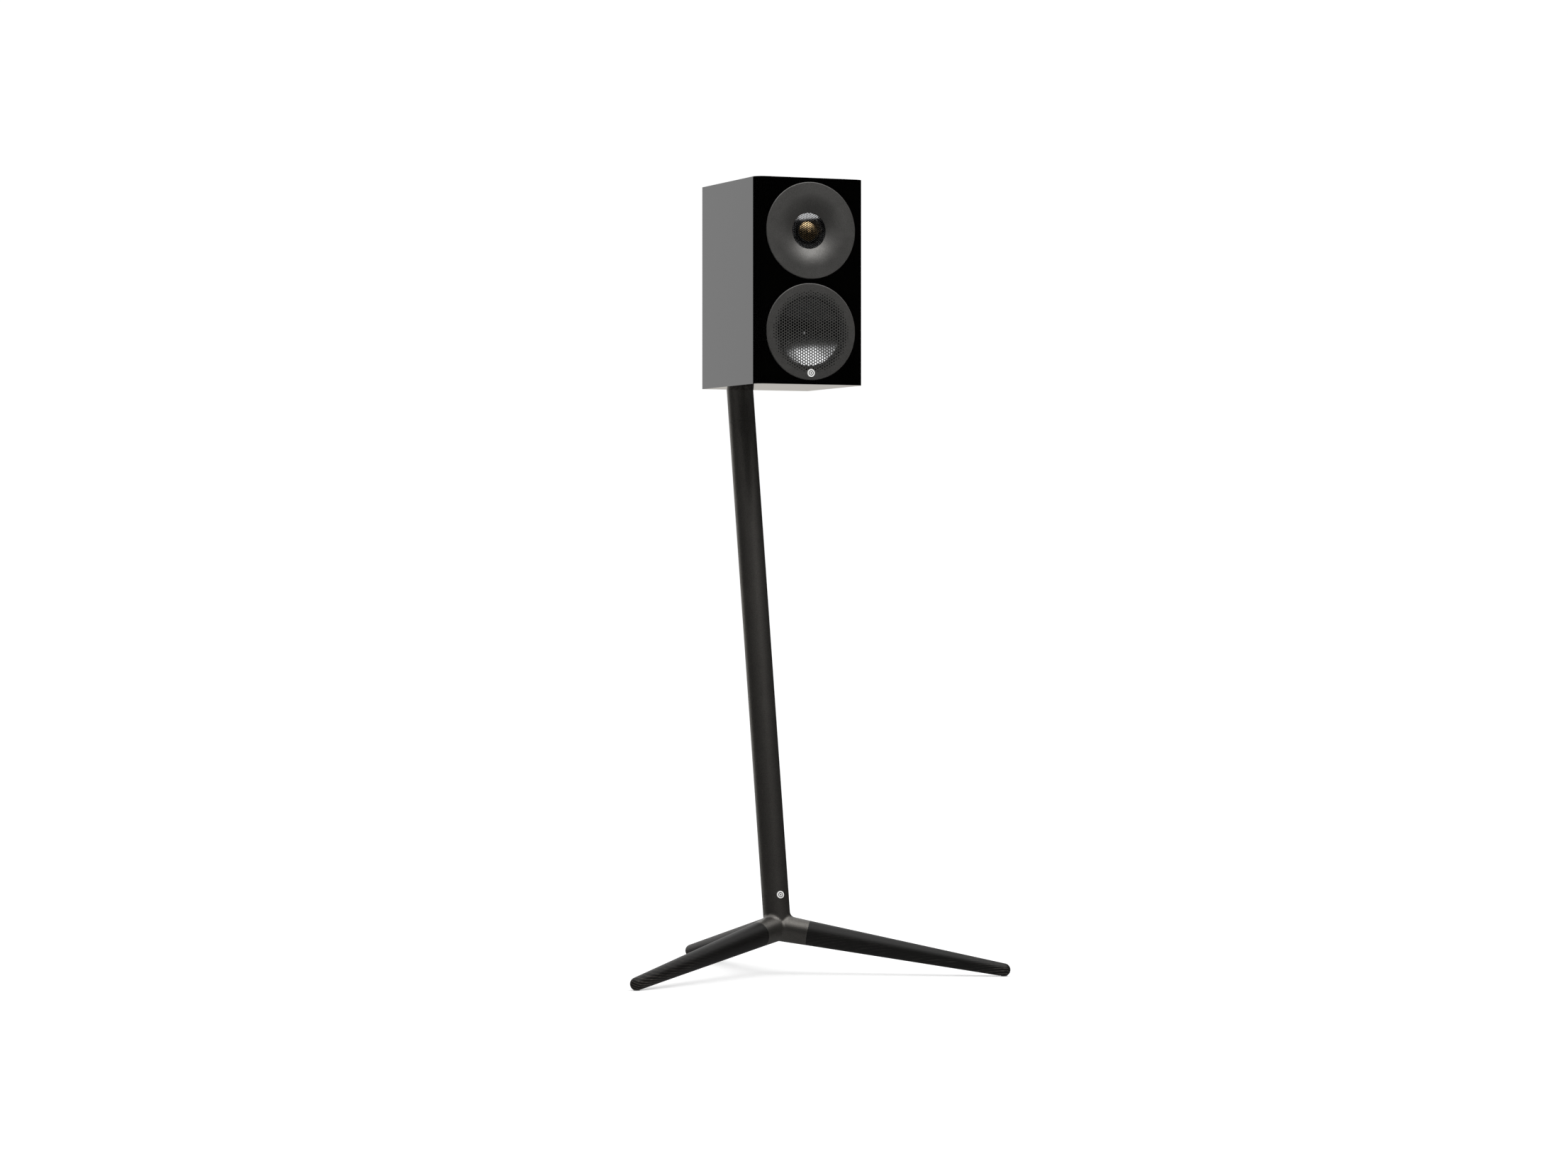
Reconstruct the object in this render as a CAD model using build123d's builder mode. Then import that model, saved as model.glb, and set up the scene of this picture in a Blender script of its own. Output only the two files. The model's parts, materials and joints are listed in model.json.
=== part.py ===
# Bookshelf speaker on its three-legged floor stand, in millimetres.
#
# Frame: the floor is Z = 0, +Z is up, the listener sits at -Y and +X is to the right of the
# baffle as the listener sees it.  X = 0 is the plane of symmetry.  The origin is on the floor
# under the middle of the object's outline.
import os
from math import ceil, cos, hypot, radians, sin, sqrt, tan

from build123d import *

os.makedirs("parts", exist_ok=True)

# ---------------------------------------------------------------- driving dimensions: cabinet
cabinet_width = 148.0
cabinet_depth = 178.0
cabinet_height = 260.0
cabinet_base_z = 750.0  # underside of the cabinet above the floor
wall = 12.0  # side, top and bottom panels
baffle_t = 18.0
rear_t = 15.0
baffle_edge_r = 12.0  # rounded upright edges of the baffle
brace_t = 12.0
brace_rail = 22.0  # width of the brace around its window
pad_t = 18.0  # damping pad on the side wall
top_pad_t = 8.0

# ---------------------------------------------------------------- driving dimensions: drivers
ring_r = 60.9  # waveguide and grille have one outline
ring_fit = 0.3  # clearance of both round their rebate
ring_proud = 1.0  # how far both stand in front of the baffle
ring_rebate = 5.0  # depth of the rebate for both
gasket_t = 1.0

flat_rim_r = 47.0  # inside this the waveguide starts to curve
throat_r = 22.9
throat_depth = 5.0
motor_clear_r = 40.0  # hole in the baffle behind the waveguide
waveguide_boss_r = 39.5
waveguide_boss_depth = 10.5
waveguide_screw_r = 2.0
waveguide_screw_circle_r = 51.0

mesh_t = 0.6
mesh_apex_depth = 1.2
mesh_rim_depth = 6.2
mesh_pitch = 2.6
mesh_hole_r = 1.05

dome_r = 12.5
dome_t = 0.4
dome_height = 4.0
dome_apex_depth = 5.0
tweeter_roll_r = 1.5
tweeter_lip = 2.0
tweeter_coil_t = 0.35
tweeter_former_t = 0.25
tweeter_gap_in = 0.3  # coil to pole
tweeter_gap_out = 0.3  # coil to top plate
tweeter_plate_t = 4.0
tweeter_magnet_t = 10.0
tweeter_magnet_r = 33.0
tweeter_cup_t = 2.0
tweeter_cup_length = 16.0

grille_t = 0.8
grille_rim_t = 1.6
grille_pitch = 3.66
grille_hole_r = 1.35
grille_small_hole_r = 0.75
grille_full_r = 46.0  # holes keep their full size out to here
grille_holes_r = 51.6  # and end here
badge_r = 5.0
badge_t = 0.8
badge_drop = 52.0  # badge centre below the woofer's centre
badge_stem_r = 1.5

basket_flange_r = 58.5
basket_flange_t = 4.0
basket_fit = 0.3
basket_wall = 2.8
basket_body_r = 49.3
basket_hole_r = 50.0
basket_neck_r = 38.5
woofer_screw_circle_r = 55.2
woofer_screw_r = 1.75
woofer_screw_head_r = 3.0
woofer_screw_head_t = 2.0
magnet_pin_r = 2.5

cone_r = 42.5
cone_t = 0.8
cone_depth = 14.0
cone_edge_depth = 7.3
surround_t = 0.7
surround_lip = 3.0
spider_t = 0.6
spider_depth = 30.0
woofer_coil_r = 16.0  # inside of the former
woofer_former_t = 0.3
woofer_coil_t = 0.6
woofer_coil_length = 9.0
woofer_gap_in = 0.4
woofer_gap_out = 0.4
woofer_front_plate_depth = 40.0
woofer_plate_t = 5.0
woofer_magnet_t = 12.0
woofer_magnet_r = 35.0
woofer_vent_r = 4.0

# ---------------------------------------------------------------- driving dimensions: back
port_r = 17.0
port_wall = 2.5
port_length = 95.0
port_flange_r = 28.0
port_flange_t = 2.0
port_flare_r = 7.0
port_above_centre = 85.0  # port centre above the middle of the back

terminal_above_centre = 20.0
terminal_plate_w = 76.0
terminal_plate_h = 44.0
terminal_plate_t = 3.0
terminal_cutout_w = 56.0
terminal_cutout_h = 26.0
terminal_spacing = 19.0
post_r = 3.0
post_length = 21.0  # in front of the plate
post_tail = 14.0  # behind the plate
socket_r = 2.0
socket_length = 16.0
collar_r = 6.5
collar_t = 4.0
washer_r = 5.5
washer_t = 1.2
knob_r = 7.0
knob_length = 14.0
running_clearance = 0.05
terminal_nut_t = 3.0
terminal_screw_r = 1.5

# ---------------------------------------------------------------- driving dimensions: crossover
board_w = 80.0
board_h = 90.0
board_t = 1.6
board_gap = 8.0  # board to side panel
board_from_back = 5.0
board_from_bottom = 10.0
wire_r = 1.1
wire_bend_r = 7.0
touch_gap = 0.1

# ---------------------------------------------------------------- driving dimensions: stand
leg_reach = 290.0  # hub axis to the centre of a leg's tip, seen from above
lean = 10.1  # degrees: slope of the legs, and lean of the pole
leg_tip_r = 8.3
leg_root_r = 15.9
arm_length = 40.0  # hub centre to each end face of the hub
pole_r = 17.35
pole_wall = 2.0
spigot_fit = 0.05
spigot_length = 45.0
head_seam_drop = 40.0  # upper seam below the cabinet's underside
pole_standoff = 50.0  # pole axis behind the cabinet, at the underside's level
foot_pad_r = 3.8
foot_pad_t = 0.8
foot_flat = 1.0  # how much of the round tip is cut off above the pad
stud_r = 4.0
stud_in_hub = 18.0
stud_in_leg = 30.0
hub_fillet_r = 8.0
set_screw_r = 3.0
set_screw_length = 6.0
set_screw_sink = 0.6
hub_badge_r = 4.8
hub_badge_recess_r = 5.8
hub_badge_depth = 1.4
seam_chamfer = 0.35

bracket_w = 64.0
bracket_h = 100.0
bracket_t = 8.0
bracket_corner_r = 8.0
bracket_centre_h = 70.0  # above the cabinet's underside
bracket_hole_dx = 46.0
bracket_hole_dz = 76.0
neck_r = 15.0
bracket_screw_r = 3.0
bracket_screw_head_r = 5.0
bracket_screw_head_t = 5.0
insert_r = 4.5
insert_flange_r = 8.5
insert_flange_t = 1.5

# ---------------------------------------------------------------- driving dimensions: details
rim_round = 0.8  # front edge of the waveguide and the grille
badge_round = 0.3
hex_share = 0.7  # hexagon socket of a screw against its thread radius
blind_end_t = 1.0  # material left at the end of a blind hole
screw_tip_gap = 0.5
cut_over = 1.0  # how far a cutting shape starts outside the piece
mesh_seat_w = 1.6
mesh_rim_inset = 0.4
gasket_inset = 1.0
tweeter_coil_inset = 0.5  # coil ends inside the top plate's thickness
tweeter_plate_inset = 0.5
tweeter_magnet_gap = 4.0  # dome radius to the magnet's bore
tweeter_vent_r = 2.0
tweeter_cup_inset = 1.0
surround_ledge = 1.5  # basket ledge behind the flange's front
ledge_gap = 0.4  # screw heads to the ledge
seat_fit = 0.2  # surround and spider inside their seats
basket_floor_t = 2.5
basket_floor_gap = 5.0  # coil radius to the hole in the basket's floor
basket_bend = 2.0  # how far behind the baffle and the spider the basket's wall bends
spider_seat_w = 4.5
spider_lip = 5.0
basket_window_w = 24.0
basket_window_h = 30.0
basket_window_corner_r = 3.0
basket_window_drop = 6.0  # window centre inside the basket's outer radius
basket_window_edge = 1.5
basket_windows = 6
former_tail = 1.0  # former behind the coil
woofer_magnet_inset = 1.0
woofer_magnet_gap = 5.0
woofer_screw_head_fit = 0.1
grille_hole_steps = 2  # hole sizes in the outer rows
terminal_corner_r = 3.0
terminal_screw_head_t = 1.6
terminal_nut_r = 5.7
knob_flutes = 12
knob_flute_r = 0.7
standoff_r = 3.0
standoff_pin_r = 1.5
standoff_pin_over = 2.0
coil_bore_share = 0.4
resistor_w = 20.0
resistor_h = 9.0
resistor_t = 8.0
resistor_pitch = 16.0
spigot_chamfer = 1.0
neck_fillet_r = 5.0
neck_overlap = 1.0
bracket_hex_r = 2.85
bracket_hex_floor = 2.0
set_screw_hex_r = 1.65

# ---------------------------------------------------------------- derived places
slope = tan(radians(lean))
hub_y = -leg_reach / 4
tip_z = foot_pad_t + leg_tip_r - foot_flat
hub_z = tip_z + leg_reach * slope
rear_y = hub_y + (cabinet_base_z - hub_z) * slope - pole_standoff
front_y = rear_y - cabinet_depth
driver_gap = (cabinet_height - 4 * ring_r) / 3
woofer_h = driver_gap + ring_r
tweeter_h = 2 * driver_gap + 3 * ring_r
half_w = cabinet_width / 2
inner_w = half_w - wall
rear_depth = cabinet_depth - rear_t  # inner face of the rear panel
centre_h = cabinet_height / 2


def face(depth, height=0.0, x=0.0):
    """Upright plane, depth behind the baffle's front and height above the underside.

    Its local axes are X and Z, and extrude with a negative amount runs backwards.
    """
    origin = (x, front_y + depth, cabinet_base_z + height)
    return Plane(origin=origin, x_dir=(1, 0, 0), z_dir=(0, -1, 0))


def section(height):
    """Half-section plane of a driver: local x is depth, local y is radius."""
    return Plane(origin=(0, front_y, cabinet_base_z + height), x_dir=(0, 1, 0), z_dir=(1, 0, 0))


def depth_axis(height):
    """Axis of a round piece that faces the listener."""
    return Axis((0, front_y, cabinet_base_z + height), (0, 1, 0))


def side_face(x, depth, height):
    """Plane parallel to the side panels: local x is depth, local y is height, out is +X."""
    origin = (x, front_y + depth, cabinet_base_z + height)
    return Plane(origin=origin, x_dir=(0, 1, 0), z_dir=(1, 0, 0))


def sag(radius, r):
    """How far a sphere falls away from its pole at distance r from the axis."""
    return radius - sqrt(radius**2 - r**2)


def cap_radius(r, height):
    """Radius of the sphere whose cap has edge radius r and the given height."""
    return (r**2 + height**2) / (2 * height)


def hex_points(pitch, limit):
    """Centres of a close-packed pattern in upright columns, out to the limit."""
    column = pitch * sqrt(3) / 2
    reach = ceil(limit / column)
    points = []
    for i in range(-reach, reach + 1):
        for j in range(-reach, reach + 1):
            point = (i * column, (j + (i % 2) / 2) * pitch)
            if hypot(*point) <= limit:
                points.append(point)
    return points


def half_roll(front, thickness, inner_r, outer_r, lip_r, leg):
    """Outline of a half-roll surround, drawn in a driver's section plane.

    The roll bulges forwards between inner_r and outer_r.  Outside it a flat lip runs to lip_r,
    and inside it a leg of the given length runs back along the diaphragm's edge.
    """
    middle = (inner_r + outer_r) / 2
    roll = (outer_r - inner_r) / 2
    under = roll - thickness
    ThreePointArc((front, inner_r), (front - roll, middle), (front, outer_r))
    Polyline(
        (front, outer_r),
        (front, lip_r),
        (front + thickness, lip_r),
        (front + thickness, middle + under),
        (front, middle + under),
    )
    ThreePointArc((front, middle + under), (front - under, middle), (front, middle - under))
    Polyline(
        (front, middle - under),
        (front + leg, middle - under),
        (front + leg, inner_r),
        (front, inner_r),
    )


def save(builder, name):
    """Label a finished piece and write it."""
    builder.part.label = name
    export_step(builder.part, f"parts/{name}.step")


# ================================================================ cabinet
with BuildPart() as front_baffle:
    with BuildSketch(face(0)):
        with Locations((0, centre_h)):
            Rectangle(cabinet_width, cabinet_height)
    extrude(amount=-baffle_t)
    upright = front_baffle.edges().filter_by(Axis.Z).group_by(Axis.Y)[0]
    fillet(upright, baffle_edge_r)
    with BuildSketch(face(0)):
        with Locations((0, woofer_h), (0, tweeter_h)):
            Circle(ring_r + ring_fit)
    extrude(amount=-ring_rebate, mode=Mode.SUBTRACT)
    with BuildSketch(face(ring_rebate, woofer_h)):
        Circle(basket_flange_r + basket_fit)
    extrude(amount=-(basket_flange_t + gasket_t), mode=Mode.SUBTRACT)
    with BuildSketch(face(0, woofer_h)):
        Circle(basket_hole_r)
    extrude(amount=-baffle_t, mode=Mode.SUBTRACT)
    with BuildSketch(face(0, tweeter_h)):
        Circle(motor_clear_r)
        with PolarLocations(waveguide_screw_circle_r, 4, start_angle=45):
            Circle(waveguide_screw_r + running_clearance)
    extrude(amount=-baffle_t, mode=Mode.SUBTRACT)
    with BuildSketch(face(0, woofer_h)):
        with PolarLocations(woofer_screw_circle_r, 4):
            Circle(woofer_screw_r)
    extrude(amount=-(baffle_t - blind_end_t), mode=Mode.SUBTRACT)
save(front_baffle, "front_baffle")

carcass_length = cabinet_depth - baffle_t

with BuildPart() as left_side_panel:
    with BuildSketch(face(baffle_t)):
        with BuildLine():
            Polyline(
                (-half_w, 0),
                (-inner_w, wall),
                (-inner_w, cabinet_height - wall),
                (-half_w, cabinet_height),
                close=True,
            )
        make_face()
    extrude(amount=-carcass_length)
save(left_side_panel, "left_side_panel")

with BuildPart() as right_side_panel:
    mirror(left_side_panel.part, about=Plane.YZ)
save(right_side_panel, "right_side_panel")

with BuildPart() as bottom_panel:
    with BuildSketch(face(baffle_t)):
        with BuildLine():
            Polyline((-half_w, 0), (half_w, 0), (inner_w, wall), (-inner_w, wall), close=True)
        make_face()
    extrude(amount=-carcass_length)
save(bottom_panel, "bottom_panel")

with BuildPart() as top_panel:
    mirror(bottom_panel.part, about=Plane.XY.offset(cabinet_base_z + centre_h))
save(top_panel, "top_panel")

terminal_h = centre_h + terminal_above_centre
port_h = centre_h + port_above_centre
terminal_screw_dx = terminal_plate_w - 8.0
terminal_screw_dz = terminal_plate_h - 8.0
port_body_r = port_r + port_wall + port_flare_r / 2

with BuildPart() as rear_panel:
    with BuildSketch(face(rear_depth)):
        with Locations((0, centre_h)):
            Rectangle(2 * inner_w, cabinet_height - 2 * wall)
        with Locations((0, terminal_h)):
            Rectangle(terminal_cutout_w, terminal_cutout_h, mode=Mode.SUBTRACT)
            with GridLocations(terminal_screw_dx, terminal_screw_dz, 2, 2):
                Circle(terminal_screw_r, mode=Mode.SUBTRACT)
        with Locations((0, port_h)):
            Circle(port_body_r, mode=Mode.SUBTRACT)
        with Locations((0, bracket_centre_h)):
            with GridLocations(bracket_hole_dx, bracket_hole_dz, 2, 2):
                Circle(insert_r, mode=Mode.SUBTRACT)
    extrude(amount=-rear_t)
    with BuildSketch(face(cabinet_depth)):
        with Locations((0, port_h)):
            Circle(port_flange_r)
        with Locations((0, terminal_h)):
            Rectangle(terminal_plate_w, terminal_plate_h)
    extrude(amount=port_flange_t, mode=Mode.SUBTRACT)
save(rear_panel, "rear_panel")

brace_h = woofer_h + ring_r + driver_gap / 2
brace_length = rear_depth - baffle_t
with BuildPart() as window_brace:
    with BuildSketch(Plane.XY.offset(cabinet_base_z + brace_h - brace_t / 2)):
        with Locations((0, front_y + baffle_t + brace_length / 2)):
            Rectangle(2 * inner_w, brace_length)
            RectangleRounded(
                2 * inner_w - 2 * brace_rail, brace_length - 2 * brace_rail, 10, mode=Mode.SUBTRACT
            )
    extrude(amount=brace_t)
save(window_brace, "window_brace")

pad_gap = 6.0
lower_pad_top = brace_h - brace_t / 2 - pad_gap
lower_pad_bottom = wall + pad_gap
side_pad_front = 66.0
side_pad_length = rear_depth - side_pad_front - pad_gap
with BuildPart() as damping_pads:
    with BuildSketch(side_face(inner_w, side_pad_front, lower_pad_bottom)):
        Rectangle(side_pad_length, lower_pad_top - lower_pad_bottom, align=(Align.MIN, Align.MIN))
    extrude(amount=-pad_t)
    with BuildSketch(Plane.XY.offset(cabinet_base_z + cabinet_height - wall)):
        with Locations((0, front_y + (baffle_t + rear_depth) / 2)):
            Rectangle(1.6 * inner_w, brace_length - 2 * pad_gap)
    extrude(amount=-top_pad_t)
save(damping_pads, "damping_pads")

# ================================================================ tweeter
flare_r = (
    (flat_rim_r - throat_r) ** 2 + (throat_depth + ring_proud) ** 2
) / (2 * (throat_depth + ring_proud))
flare_mid_r = (flat_rim_r + throat_r) / 2
flare_mid = (-ring_proud + sag(flare_r, flat_rim_r - flare_mid_r), flare_mid_r)
rim_back = ring_rebate - gasket_t
mesh_seat_r = throat_r + mesh_seat_w

with BuildPart() as tweeter_waveguide:
    with BuildSketch(section(tweeter_h)):
        with BuildLine():
            Polyline(
                (-ring_proud, flat_rim_r),
                (-ring_proud, ring_r),
                (rim_back, ring_r),
                (rim_back, waveguide_boss_r),
                (waveguide_boss_depth, waveguide_boss_r),
                (waveguide_boss_depth, mesh_seat_r),
                (mesh_rim_depth, mesh_seat_r),
                (mesh_rim_depth, throat_r),
                (throat_depth, throat_r),
            )
            ThreePointArc((throat_depth, throat_r), flare_mid, (-ring_proud, flat_rim_r))
        make_face()
    revolve(axis=depth_axis(tweeter_h))
    outer_rim = tweeter_waveguide.edges().filter_by(GeomType.CIRCLE).group_by(Axis.Y)[0]
    fillet(outer_rim.sort_by(SortBy.RADIUS)[-1], rim_round)
    with BuildSketch(face(rim_back, tweeter_h)):
        with PolarLocations(waveguide_screw_circle_r, 4, start_angle=45):
            Circle(waveguide_screw_r)
    extrude(amount=rim_back - screw_tip_gap, mode=Mode.SUBTRACT)
save(tweeter_waveguide, "tweeter_waveguide")

mesh_dome_r = throat_r - mesh_rim_inset
mesh_sphere = cap_radius(mesh_dome_r, mesh_rim_depth - mesh_apex_depth)

with BuildPart() as tweeter_mesh:
    with Locations((0, front_y + mesh_apex_depth + mesh_sphere, cabinet_base_z + tweeter_h)):
        Sphere(mesh_sphere)
        Sphere(mesh_sphere - mesh_t, mode=Mode.SUBTRACT)
    with BuildSketch(face(mesh_apex_depth - cut_over, tweeter_h)):
        Circle(mesh_dome_r)
    extrude(amount=-(mesh_rim_depth + cut_over - mesh_apex_depth), mode=Mode.INTERSECT)
    with BuildSketch(face(mesh_apex_depth - cut_over, tweeter_h)):
        with Locations(*hex_points(mesh_pitch, mesh_dome_r - mesh_t - 2 * mesh_hole_r)):
            RegularPolygon(mesh_hole_r, 6)
    extrude(amount=-(mesh_rim_depth - mesh_apex_depth + 3 * cut_over), mode=Mode.SUBTRACT)
    with BuildSketch(face(mesh_rim_depth, tweeter_h)):
        Circle(mesh_seat_r)
        Circle(mesh_dome_r - 2 * mesh_t, mode=Mode.SUBTRACT)
    extrude(amount=-2 * mesh_t)
save(tweeter_mesh, "tweeter_mesh")

dome_sphere = cap_radius(dome_r, dome_height)
dome_edge_depth = dome_apex_depth + dome_height
with BuildPart() as tweeter_dome:
    with BuildSketch(section(tweeter_h)):
        with BuildLine():
            inner_dome = dome_sphere - dome_t
            ThreePointArc(
                (dome_apex_depth, 0),
                (dome_apex_depth + sag(dome_sphere, dome_r / 2), dome_r / 2),
                (dome_edge_depth, dome_r),
            )
            Line(
                (dome_edge_depth, dome_r),
                (dome_apex_depth + dome_t + sag(inner_dome, dome_r), dome_r),
            )
            ThreePointArc(
                (dome_apex_depth + dome_t + sag(inner_dome, dome_r), dome_r),
                (dome_apex_depth + dome_t + sag(inner_dome, dome_r / 2), dome_r / 2),
                (dome_apex_depth + dome_t, 0),
            )
            Line((dome_apex_depth + dome_t, 0), (dome_apex_depth, 0))
        make_face()
    revolve(axis=depth_axis(tweeter_h))
save(tweeter_dome, "tweeter_dome")

dome_back_depth = dome_apex_depth + dome_t + sag(dome_sphere - dome_t, dome_r)
tweeter_roll_end = dome_r + 2 * tweeter_roll_r
tweeter_lip_r = tweeter_roll_end + tweeter_lip
with BuildPart() as tweeter_surround:
    with BuildSketch(section(tweeter_h)):
        with BuildLine():
            half_roll(dome_edge_depth, dome_t, dome_r, tweeter_roll_end, tweeter_lip_r, dome_t)
        make_face()
    revolve(axis=depth_axis(tweeter_h))
save(tweeter_surround, "tweeter_surround")

tweeter_former_depth = dome_back_depth
tweeter_former_end = waveguide_boss_depth + tweeter_plate_t + 1.0
with BuildPart() as tweeter_voice_coil:
    with BuildSketch(face(tweeter_former_depth, tweeter_h)):
        Circle(dome_r)
        Circle(dome_r - tweeter_former_t, mode=Mode.SUBTRACT)
    extrude(amount=-(tweeter_former_end - tweeter_former_depth))
    with BuildSketch(face(waveguide_boss_depth + tweeter_coil_inset, tweeter_h)):
        Circle(dome_r + tweeter_coil_t)
        Circle(dome_r, mode=Mode.SUBTRACT)
    extrude(amount=-(tweeter_plate_t - 2 * tweeter_coil_inset))
save(tweeter_voice_coil, "tweeter_voice_coil")

tweeter_magnet_depth = waveguide_boss_depth + tweeter_plate_t
tweeter_back_depth = tweeter_magnet_depth + tweeter_magnet_t
with BuildPart() as tweeter_top_plate:
    with BuildSketch(face(waveguide_boss_depth, tweeter_h)):
        Circle(waveguide_boss_r - tweeter_plate_inset)
        Circle(dome_r + tweeter_coil_t + tweeter_gap_out, mode=Mode.SUBTRACT)
    extrude(amount=-tweeter_plate_t)
    with BuildSketch(face(waveguide_boss_depth, tweeter_h)):
        Circle(mesh_seat_r)
        Circle(dome_r + tweeter_roll_r, mode=Mode.SUBTRACT)
    extrude(amount=waveguide_boss_depth - dome_edge_depth - dome_t)
save(tweeter_top_plate, "tweeter_top_plate")

with BuildPart() as tweeter_magnet:
    with BuildSketch(face(tweeter_magnet_depth, tweeter_h)):
        Circle(tweeter_magnet_r)
        Circle(dome_r + tweeter_magnet_gap, mode=Mode.SUBTRACT)
    extrude(amount=-tweeter_magnet_t)
save(tweeter_magnet, "tweeter_magnet")

with BuildPart() as tweeter_back_plate:
    with BuildSketch(face(tweeter_back_depth, tweeter_h)):
        Circle(tweeter_magnet_r)
        Circle(tweeter_vent_r, mode=Mode.SUBTRACT)
    extrude(amount=-tweeter_plate_t)
    with BuildSketch(face(waveguide_boss_depth, tweeter_h)):
        Circle(dome_r - tweeter_former_t - tweeter_gap_in)
        Circle(tweeter_vent_r, mode=Mode.SUBTRACT)
    extrude(amount=-(tweeter_back_depth - waveguide_boss_depth))
save(tweeter_back_plate, "tweeter_back_plate")

tweeter_cup_depth = tweeter_back_depth + tweeter_plate_t
with BuildPart() as tweeter_rear_cup:
    with BuildSketch(face(tweeter_cup_depth, tweeter_h)):
        Circle(tweeter_magnet_r - tweeter_cup_inset)
    extrude(amount=-tweeter_cup_length)
    with BuildSketch(face(tweeter_cup_depth, tweeter_h)):
        Circle(tweeter_magnet_r - tweeter_cup_inset - tweeter_cup_t)
    extrude(amount=-(tweeter_cup_length - tweeter_cup_t), mode=Mode.SUBTRACT)
save(tweeter_rear_cup, "tweeter_rear_cup")

screw_head_t = 2.4
with BuildPart() as waveguide_screws:
    with BuildSketch(face(baffle_t, tweeter_h)):
        with PolarLocations(waveguide_screw_circle_r, 4, start_angle=45):
            Circle(waveguide_screw_r)
    extrude(amount=baffle_t - 2 * screw_tip_gap)
    with BuildSketch(face(baffle_t, tweeter_h)):
        with PolarLocations(waveguide_screw_circle_r, 4, start_angle=45):
            Circle(2 * waveguide_screw_r)
            RegularPolygon(waveguide_screw_r * hex_share, 6, mode=Mode.SUBTRACT)
    extrude(amount=-screw_head_t)
save(waveguide_screws, "waveguide_screws")

with BuildPart() as driver_gaskets:
    with BuildSketch(face(rim_back, tweeter_h)):
        Circle(ring_r - gasket_inset)
        Circle(motor_clear_r + 4 * gasket_inset, mode=Mode.SUBTRACT)
        with PolarLocations(waveguide_screw_circle_r, 4, start_angle=45):
            Circle(waveguide_screw_r + running_clearance, mode=Mode.SUBTRACT)
    extrude(amount=-gasket_t)
    with BuildSketch(face(ring_rebate + basket_flange_t, woofer_h)):
        Circle(basket_flange_r)
        Circle(basket_hole_r + gasket_inset / 2, mode=Mode.SUBTRACT)
        with PolarLocations(woofer_screw_circle_r, 4):
            Circle(woofer_screw_r, mode=Mode.SUBTRACT)
    extrude(amount=-gasket_t)
save(driver_gaskets, "driver_gaskets")

# ================================================================ mid-woofer
flange_back = ring_rebate + basket_flange_t
ledge_depth = ring_rebate + surround_ledge
ledge_r = woofer_screw_circle_r - woofer_screw_head_r - ledge_gap
basket_inner_r = basket_body_r - basket_wall
spider_seat_r = basket_neck_r - basket_wall + basket_bend / 4
spider_seat_depth = spider_depth + spider_t
spider_shelf_r = spider_seat_r - spider_seat_w
basket_floor_r = woofer_coil_r + basket_floor_gap
basket_floor_depth = woofer_front_plate_depth - basket_floor_t

with BuildPart() as woofer_basket:
    with BuildSketch(section(woofer_h)):
        with BuildLine():
            Polyline(
                (ring_rebate, basket_flange_r),
                (flange_back, basket_flange_r),
                (flange_back, basket_body_r),
                (baffle_t + basket_bend, basket_body_r),
                (spider_depth + basket_bend, basket_neck_r),
                (woofer_front_plate_depth, basket_neck_r),
                (woofer_front_plate_depth, basket_floor_r),
                (basket_floor_depth, basket_floor_r),
                (basket_floor_depth, spider_shelf_r),
                (spider_seat_depth, spider_shelf_r),
                (spider_seat_depth, spider_seat_r),
                (baffle_t + basket_bend / 2, basket_inner_r),
                (ledge_depth, basket_inner_r),
                (ledge_depth, ledge_r),
                (ring_rebate, ledge_r),
                close=True,
            )
        make_face()
    revolve(axis=depth_axis(woofer_h))
    window_depth = baffle_t + basket_window_edge
    window_length = spider_depth - basket_window_edge - window_depth
    with BuildSketch(face(window_depth, woofer_h)):
        with PolarLocations(basket_body_r - basket_window_drop, basket_windows, start_angle=30):
            RectangleRounded(basket_window_w, basket_window_h, basket_window_corner_r)
    extrude(amount=-window_length, mode=Mode.SUBTRACT)
    with BuildSketch(face(ring_rebate, woofer_h)):
        with PolarLocations(woofer_screw_circle_r, 4):
            Circle(woofer_screw_head_r)
        with PolarLocations(woofer_screw_circle_r, 4, start_angle=45):
            Circle(magnet_pin_r)
    extrude(amount=-woofer_screw_head_t, mode=Mode.SUBTRACT)
    with BuildSketch(face(ring_rebate, woofer_h)):
        with PolarLocations(woofer_screw_circle_r, 4):
            Circle(woofer_screw_r)
    extrude(amount=-basket_flange_t, mode=Mode.SUBTRACT)
save(woofer_basket, "woofer_basket")

dish_sphere = cap_radius(cone_r, cone_depth)
dish_apex = cone_edge_depth + cone_depth
with BuildPart() as woofer_cone:
    with BuildSketch(section(woofer_h)):
        with BuildLine():
            back_sphere = dish_sphere + cone_t
            back_edge = dish_apex + cone_t - sag(back_sphere, cone_r)
            ThreePointArc(
                (dish_apex, 0),
                (dish_apex - sag(dish_sphere, cone_r / 2), cone_r / 2),
                (cone_edge_depth, cone_r),
            )
            Line((cone_edge_depth, cone_r), (back_edge, cone_r))
            ThreePointArc(
                (back_edge, cone_r),
                (dish_apex + cone_t - sag(back_sphere, cone_r / 2), cone_r / 2),
                (dish_apex + cone_t, 0),
            )
            Line((dish_apex + cone_t, 0), (dish_apex, 0))
        make_face()
    revolve(axis=depth_axis(woofer_h))
save(woofer_cone, "woofer_cone")

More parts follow.
